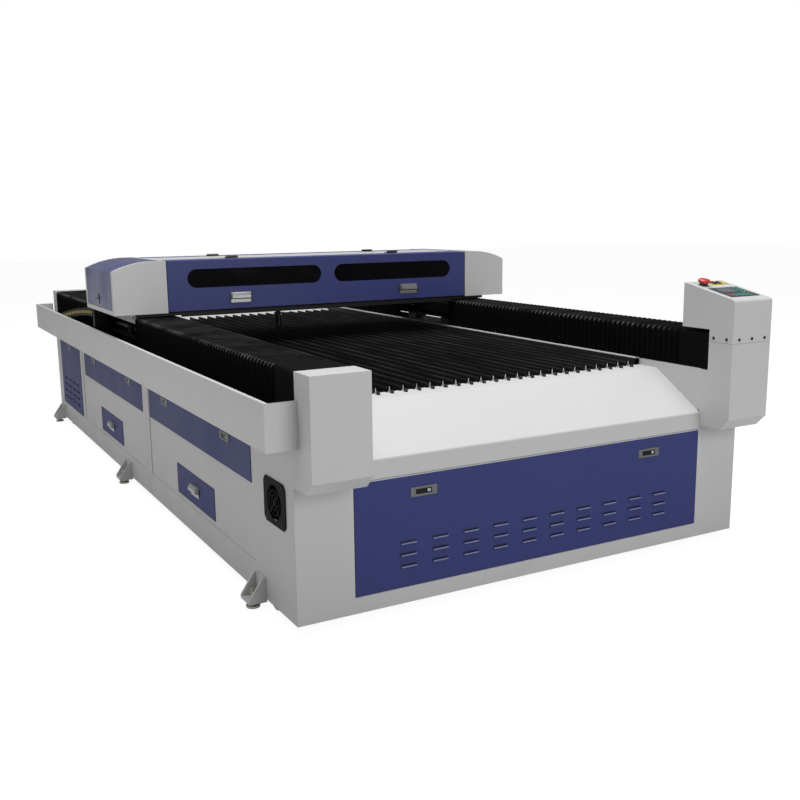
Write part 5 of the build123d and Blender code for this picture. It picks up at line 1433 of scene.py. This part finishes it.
@dataclass
class ControlBox:
    """Display, keys, switches and emergency stop on the sloped top."""

    display: tuple[float, float] = (850.0, -47.0)
    switches: tuple[float, float] = (885.0, 75.0)
    front_top: float = 976.0
    rear_top: float = 1030.0
    front: float = -144.0
    rear: float = 108.0
    plate: float = 0.0026
    screen: tuple[float, float] = (-0.021, 0.0165)
    key_half: tuple[float, float] = (0.00775, 0.00525)
    key_height: float = 0.0012
    lean: float = 6.0

    def tilted(self, spot: tuple[float, float]) -> Matrix:
        """Place and tilt of a spot on the sloped top.

        Args:
            spot: Distances to the right of the middle and behind the body's front.

        Returns:
            The matrix that carries a flat piece there.
        """
        rise = (self.rear_top - self.front_top) / (self.rear - self.front)
        height = self.front_top + (spot[1] - self.front) * rise
        tilt = Matrix.Rotation(math.atan(rise), 4, "X")
        return Matrix.Translation(at(*spot, height)) @ tilt

    def fit(
        self, name: str, bm: bmesh.types.BMesh, finishes: Iterable[bpy.types.Material], spot: tuple
    ) -> bpy.types.Object:
        """Tilt a flat piece onto its spot on the sloped top and finish it.

        Args:
            name: Name of the piece.
            bm: The mesh, which is freed.
            finishes: Its finishes, in the order of the faces' numbers.
            spot: Distances to the right of the middle and behind the body's front.

        Returns:
            The new object.
        """
        bmesh.ops.transform(bm, matrix=self.tilted(spot), verts=bm.verts)
        return Workshop.piece(name, bm, finishes, "base", "black_plastic")

    def caps(self, bm: bmesh.types.BMesh, spots: Iterable[tuple[float, float]], number: int) -> None:
        """Add rounded key caps.

        Args:
            bm: The mesh that is worked on.
            spots: Middle of each cap on the plate.
            number: Number of their finish.
        """
        for spot in spots:
            middle = Vector((*spot, self.plate))
            Workshop.paint(Workshop.pad(bm, middle, self.key_half, self.key_height, 0.0007), number)

    def panel(self) -> None:
        """Build the display unit, which stands for the CAD node."""
        bm = bmesh.new()
        Workshop.pad(bm, Vector(), (0.075, 0.059), self.plate, 0.001)
        for x in (-0.071, 0.071):
            for y in (-0.055, 0.055):
                Workshop.screw(bm, Vector((x, y, self.plate)), UP, 0.002)
        Workshop.pad(bm, Vector((*self.screen, self.plate)), (0.044, 0.029), 0.0012, 0.0005)
        plate = Moulded("display_plate", (0.04, 0.05, 0.055), 0.4, 0.0001).make()
        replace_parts(self.fit("display_unit", bm, [plate], self.display), "keypad_panel")
        bm = bmesh.new()
        Workshop.pad(bm, Vector((*self.screen, self.plate + 0.001)), (0.038, 0.024), 0.0008, 0.0003)
        self.fit("display_screen", bm, [LitScreen("lit_screen").make()], self.display)

    def keys(self) -> None:
        """Add the display's keys, a few of them red."""
        bm = bmesh.new()
        right = [(0.042 + column * 0.02, 0.04 - row * 0.018) for column in range(2) for row in range(4)]
        low = [(-0.057 + column * 0.024, -0.033 - row * 0.014) for column in range(5) for row in range(2)]
        red = [low.pop(0), low.pop(0), right.pop()]
        self.caps(bm, right + low, 0)
        self.caps(bm, red, 1)
        finishes = [
            Moulded("teal_key", (0.05, 0.25, 0.21), 0.4, 0.0001).make(),
            Moulded("red_key", (0.42, 0.035, 0.02), 0.4, 0.0001).make(),
        ]
        self.fit("display_keys", bm, finishes, self.display)

    def switch_plate(self) -> None:
        """Build the yellow plate with its two rocker switches."""
        bm = bmesh.new()
        Workshop.pad(bm, Vector(), (0.042, 0.025), self.plate, 0.0008)
        lean = Matrix.Rotation(math.radians(self.lean), 3, "X")
        for x in (-0.024, 0.002):
            socket = Vector((x, -0.009, self.plate))
            verts = Workshop.pad(bm, socket, (0.0095, 0.013), 0.0018, 0.0006)
            rocker = socket + Vector((0, 0, 0.0017))
            leaned = Workshop.pad(bm, rocker, (0.0068, 0.0102), 0.0022, 0.0006)
            bmesh.ops.rotate(bm, cent=rocker, matrix=lean, verts=leaned)
            Workshop.paint(verts + leaned, 1)
        finishes = [
            Moulded("yellow_plate", (0.55, 0.42, 0.06), 0.4, 0.0001).make(),
            Moulded("rocker_black", (0.015, 0.015, 0.016), 0.3, 0.0001).make(),
        ]
        self.fit("switch_plate", bm, finishes, self.switches)

    def build(self) -> None:
        """Dress the sloped top."""
        self.panel()
        self.keys()
        self.switch_plate()
        Workshop.dress("estop_base", Moulded("stop_collar", (0.02, 0.02, 0.022), 0.38).make())
        red = Moulded("stop_red", (0.62, 0.025, 0.018), 0.24, 0.0001, 0.4, (0.7, 0.12, 0.1))
        Workshop.dress("estop_button", red.make())
        LOG.info("controls fitted")


@dataclass
class Undercarriage:
    """Casters, levelling feet, side fan and the units in the front cabinet."""

    caster_depths: tuple[float, float] = (235.0, 3737.0)
    caster_x: float = 909.0
    axle_half: float = 23.5
    axle_height: float = 64.5
    fan_depth: float = 155.0
    fan_height: float = 398.0
    fan_screw: float = 62.0
    drive_pitch: float = 110.0

    def build(self) -> None:
        """Finish the lower parts."""
        zinc = BareMetal("zinc_plate", (0.5, 0.49, 0.43), 0.38, Grain.UPRIGHT, (0.3, 0.27, 0.2)).make()
        Workshop.dress("caster_forks", zinc)
        Workshop.dress("levelling_feet", self.thread())
        nylon = Moulded("olive_nylon", (0.2, 0.18, 0.06), 0.45, 0.0003, 0.0, (0.14, 0.13, 0.1)).make()
        for end in ("front", "rear"):
            for side in ("left", "right"):
                Workshop.dress(f"caster_wheel_{end}_{side}", nylon)
        dull = (0.01, 0.01, 0.01)
        black = Moulded("fan_plastic", (0.004, 0.004, 0.0045), 0.6, wear=dull, gloss=0.08).make()
        Workshop.dress("fan_grille", black)
        rotor = Moulded("rotor_plastic", (0.008, 0.008, 0.009), 0.5, wear=dull, gloss=0.1).make()
        Workshop.dress("fan_rotor", rotor)
        self.units()
        self.axle_nuts()
        self.fan_screws()
        LOG.info("undercarriage finished")

    def thread(self) -> bpy.types.Material:
        """Zinc-plated steel with a thread on the feet's stems."""
        sheet = Sheet("foot_thread")
        z = sheet.axes()[2]
        stem = (z > 0.009) * (z < 0.0109) + (z > 0.0431)
        groove = ((z / 0.002) % 1.0 * (2.0 * math.pi)).sine() * stem
        rust = sheet.noise(40.0, 5.0)
        base = sheet.blend(rust.ease(0.5, 0.8) * 0.5, (0.48, 0.47, 0.42), (0.22, 0.16, 0.1))
        normal = sheet.bump(groove, 0.0006, 0.8)
        return sheet.dress(Base_Color=base, Roughness=0.35 + rust * 0.2, Metallic=0.85, Normal=normal)

    def units(self) -> None:
        """Finish the units on the tray by their places."""
        supply = Region(at(170, 50, 88.2), at(530, 280, 290), (0.56, 0.57, 0.58), 0.9)
        drives = Region(at(-570, 80, 88.2), at(-160, 250, 230), (0.02, 0.02, 0.022), 0.0)
        finish = PowderCoat("tray_coat", (0.5, 0.5, 0.5), floor_darkening=0.0, regions=(supply, drives))
        Workshop.dress("electrics_tray", finish.make())
        bm = bmesh.new()
        for i in range(4):
            x = -560 + i * self.drive_pitch
            Workshop.block(bm, at(x + 8, 86, 110), at(x + 52, 90.5, 122), 0.0008)
            for k in range(5):
                Workshop.screw(bm, at(x + 14 + k * 8, 86, 116), FRONT, 0.0024)
        green = Moulded("terminal_green", (0.03, 0.2, 0.08), 0.45).make()
        Workshop.piece("drive_terminals", bm, [green], "base", "black_plastic")

    def axle_nuts(self) -> None:
        """Add a nut on each end of the wheels' axles."""
        bm = bmesh.new()
        radii = (0.0085, 0.0095, 0.0095, 0.008)
        for side in (-1, 1):
            for depth in self.caster_depths:
                for end in (-1, 1):
                    start = at(side * self.caster_x + end * self.axle_half, depth, self.axle_height)
                    Workshop.rod(bm, start, RIGHT * end, radii, (0.0, 0.001, 0.0055, 0.0062), 6)
        steel = BareMetal("nut_steel", (0.5, 0.49, 0.46), 0.34, Grain.ACROSS).make()
        Workshop.piece("axle_nuts", bm, [steel], "base", "zinc_steel")

    def fan_screws(self) -> None:
        """Add the four screws of the fan's guard."""
        bm = bmesh.new()
        for along in (-self.fan_screw, self.fan_screw):
            for rise in (-self.fan_screw, self.fan_screw):
                place = at(-954, self.fan_depth + along, self.fan_height + rise)
                Workshop.screw(bm, place, LEFT, 0.004)
        steel = BareMetal("fan_screw_steel", (0.1, 0.1, 0.1), 0.4).make()
        Workshop.piece("fan_screws", bm, [steel], "base", "zinc_steel")


def main() -> None:
    """Build every sub-assembly in order."""
    logging.basicConfig(level=logging.INFO, format="%(name)s %(message)s")
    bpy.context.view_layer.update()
    PhotoCamera().build()
    AirHose().build()
    Studio().build()
    for assembly in (Cladding, Panels, Bed, Bellows, CableChain, Bridge, Drives, ControlBox, Undercarriage):
        assembly().build()


if __name__ == "__main__":
    main()
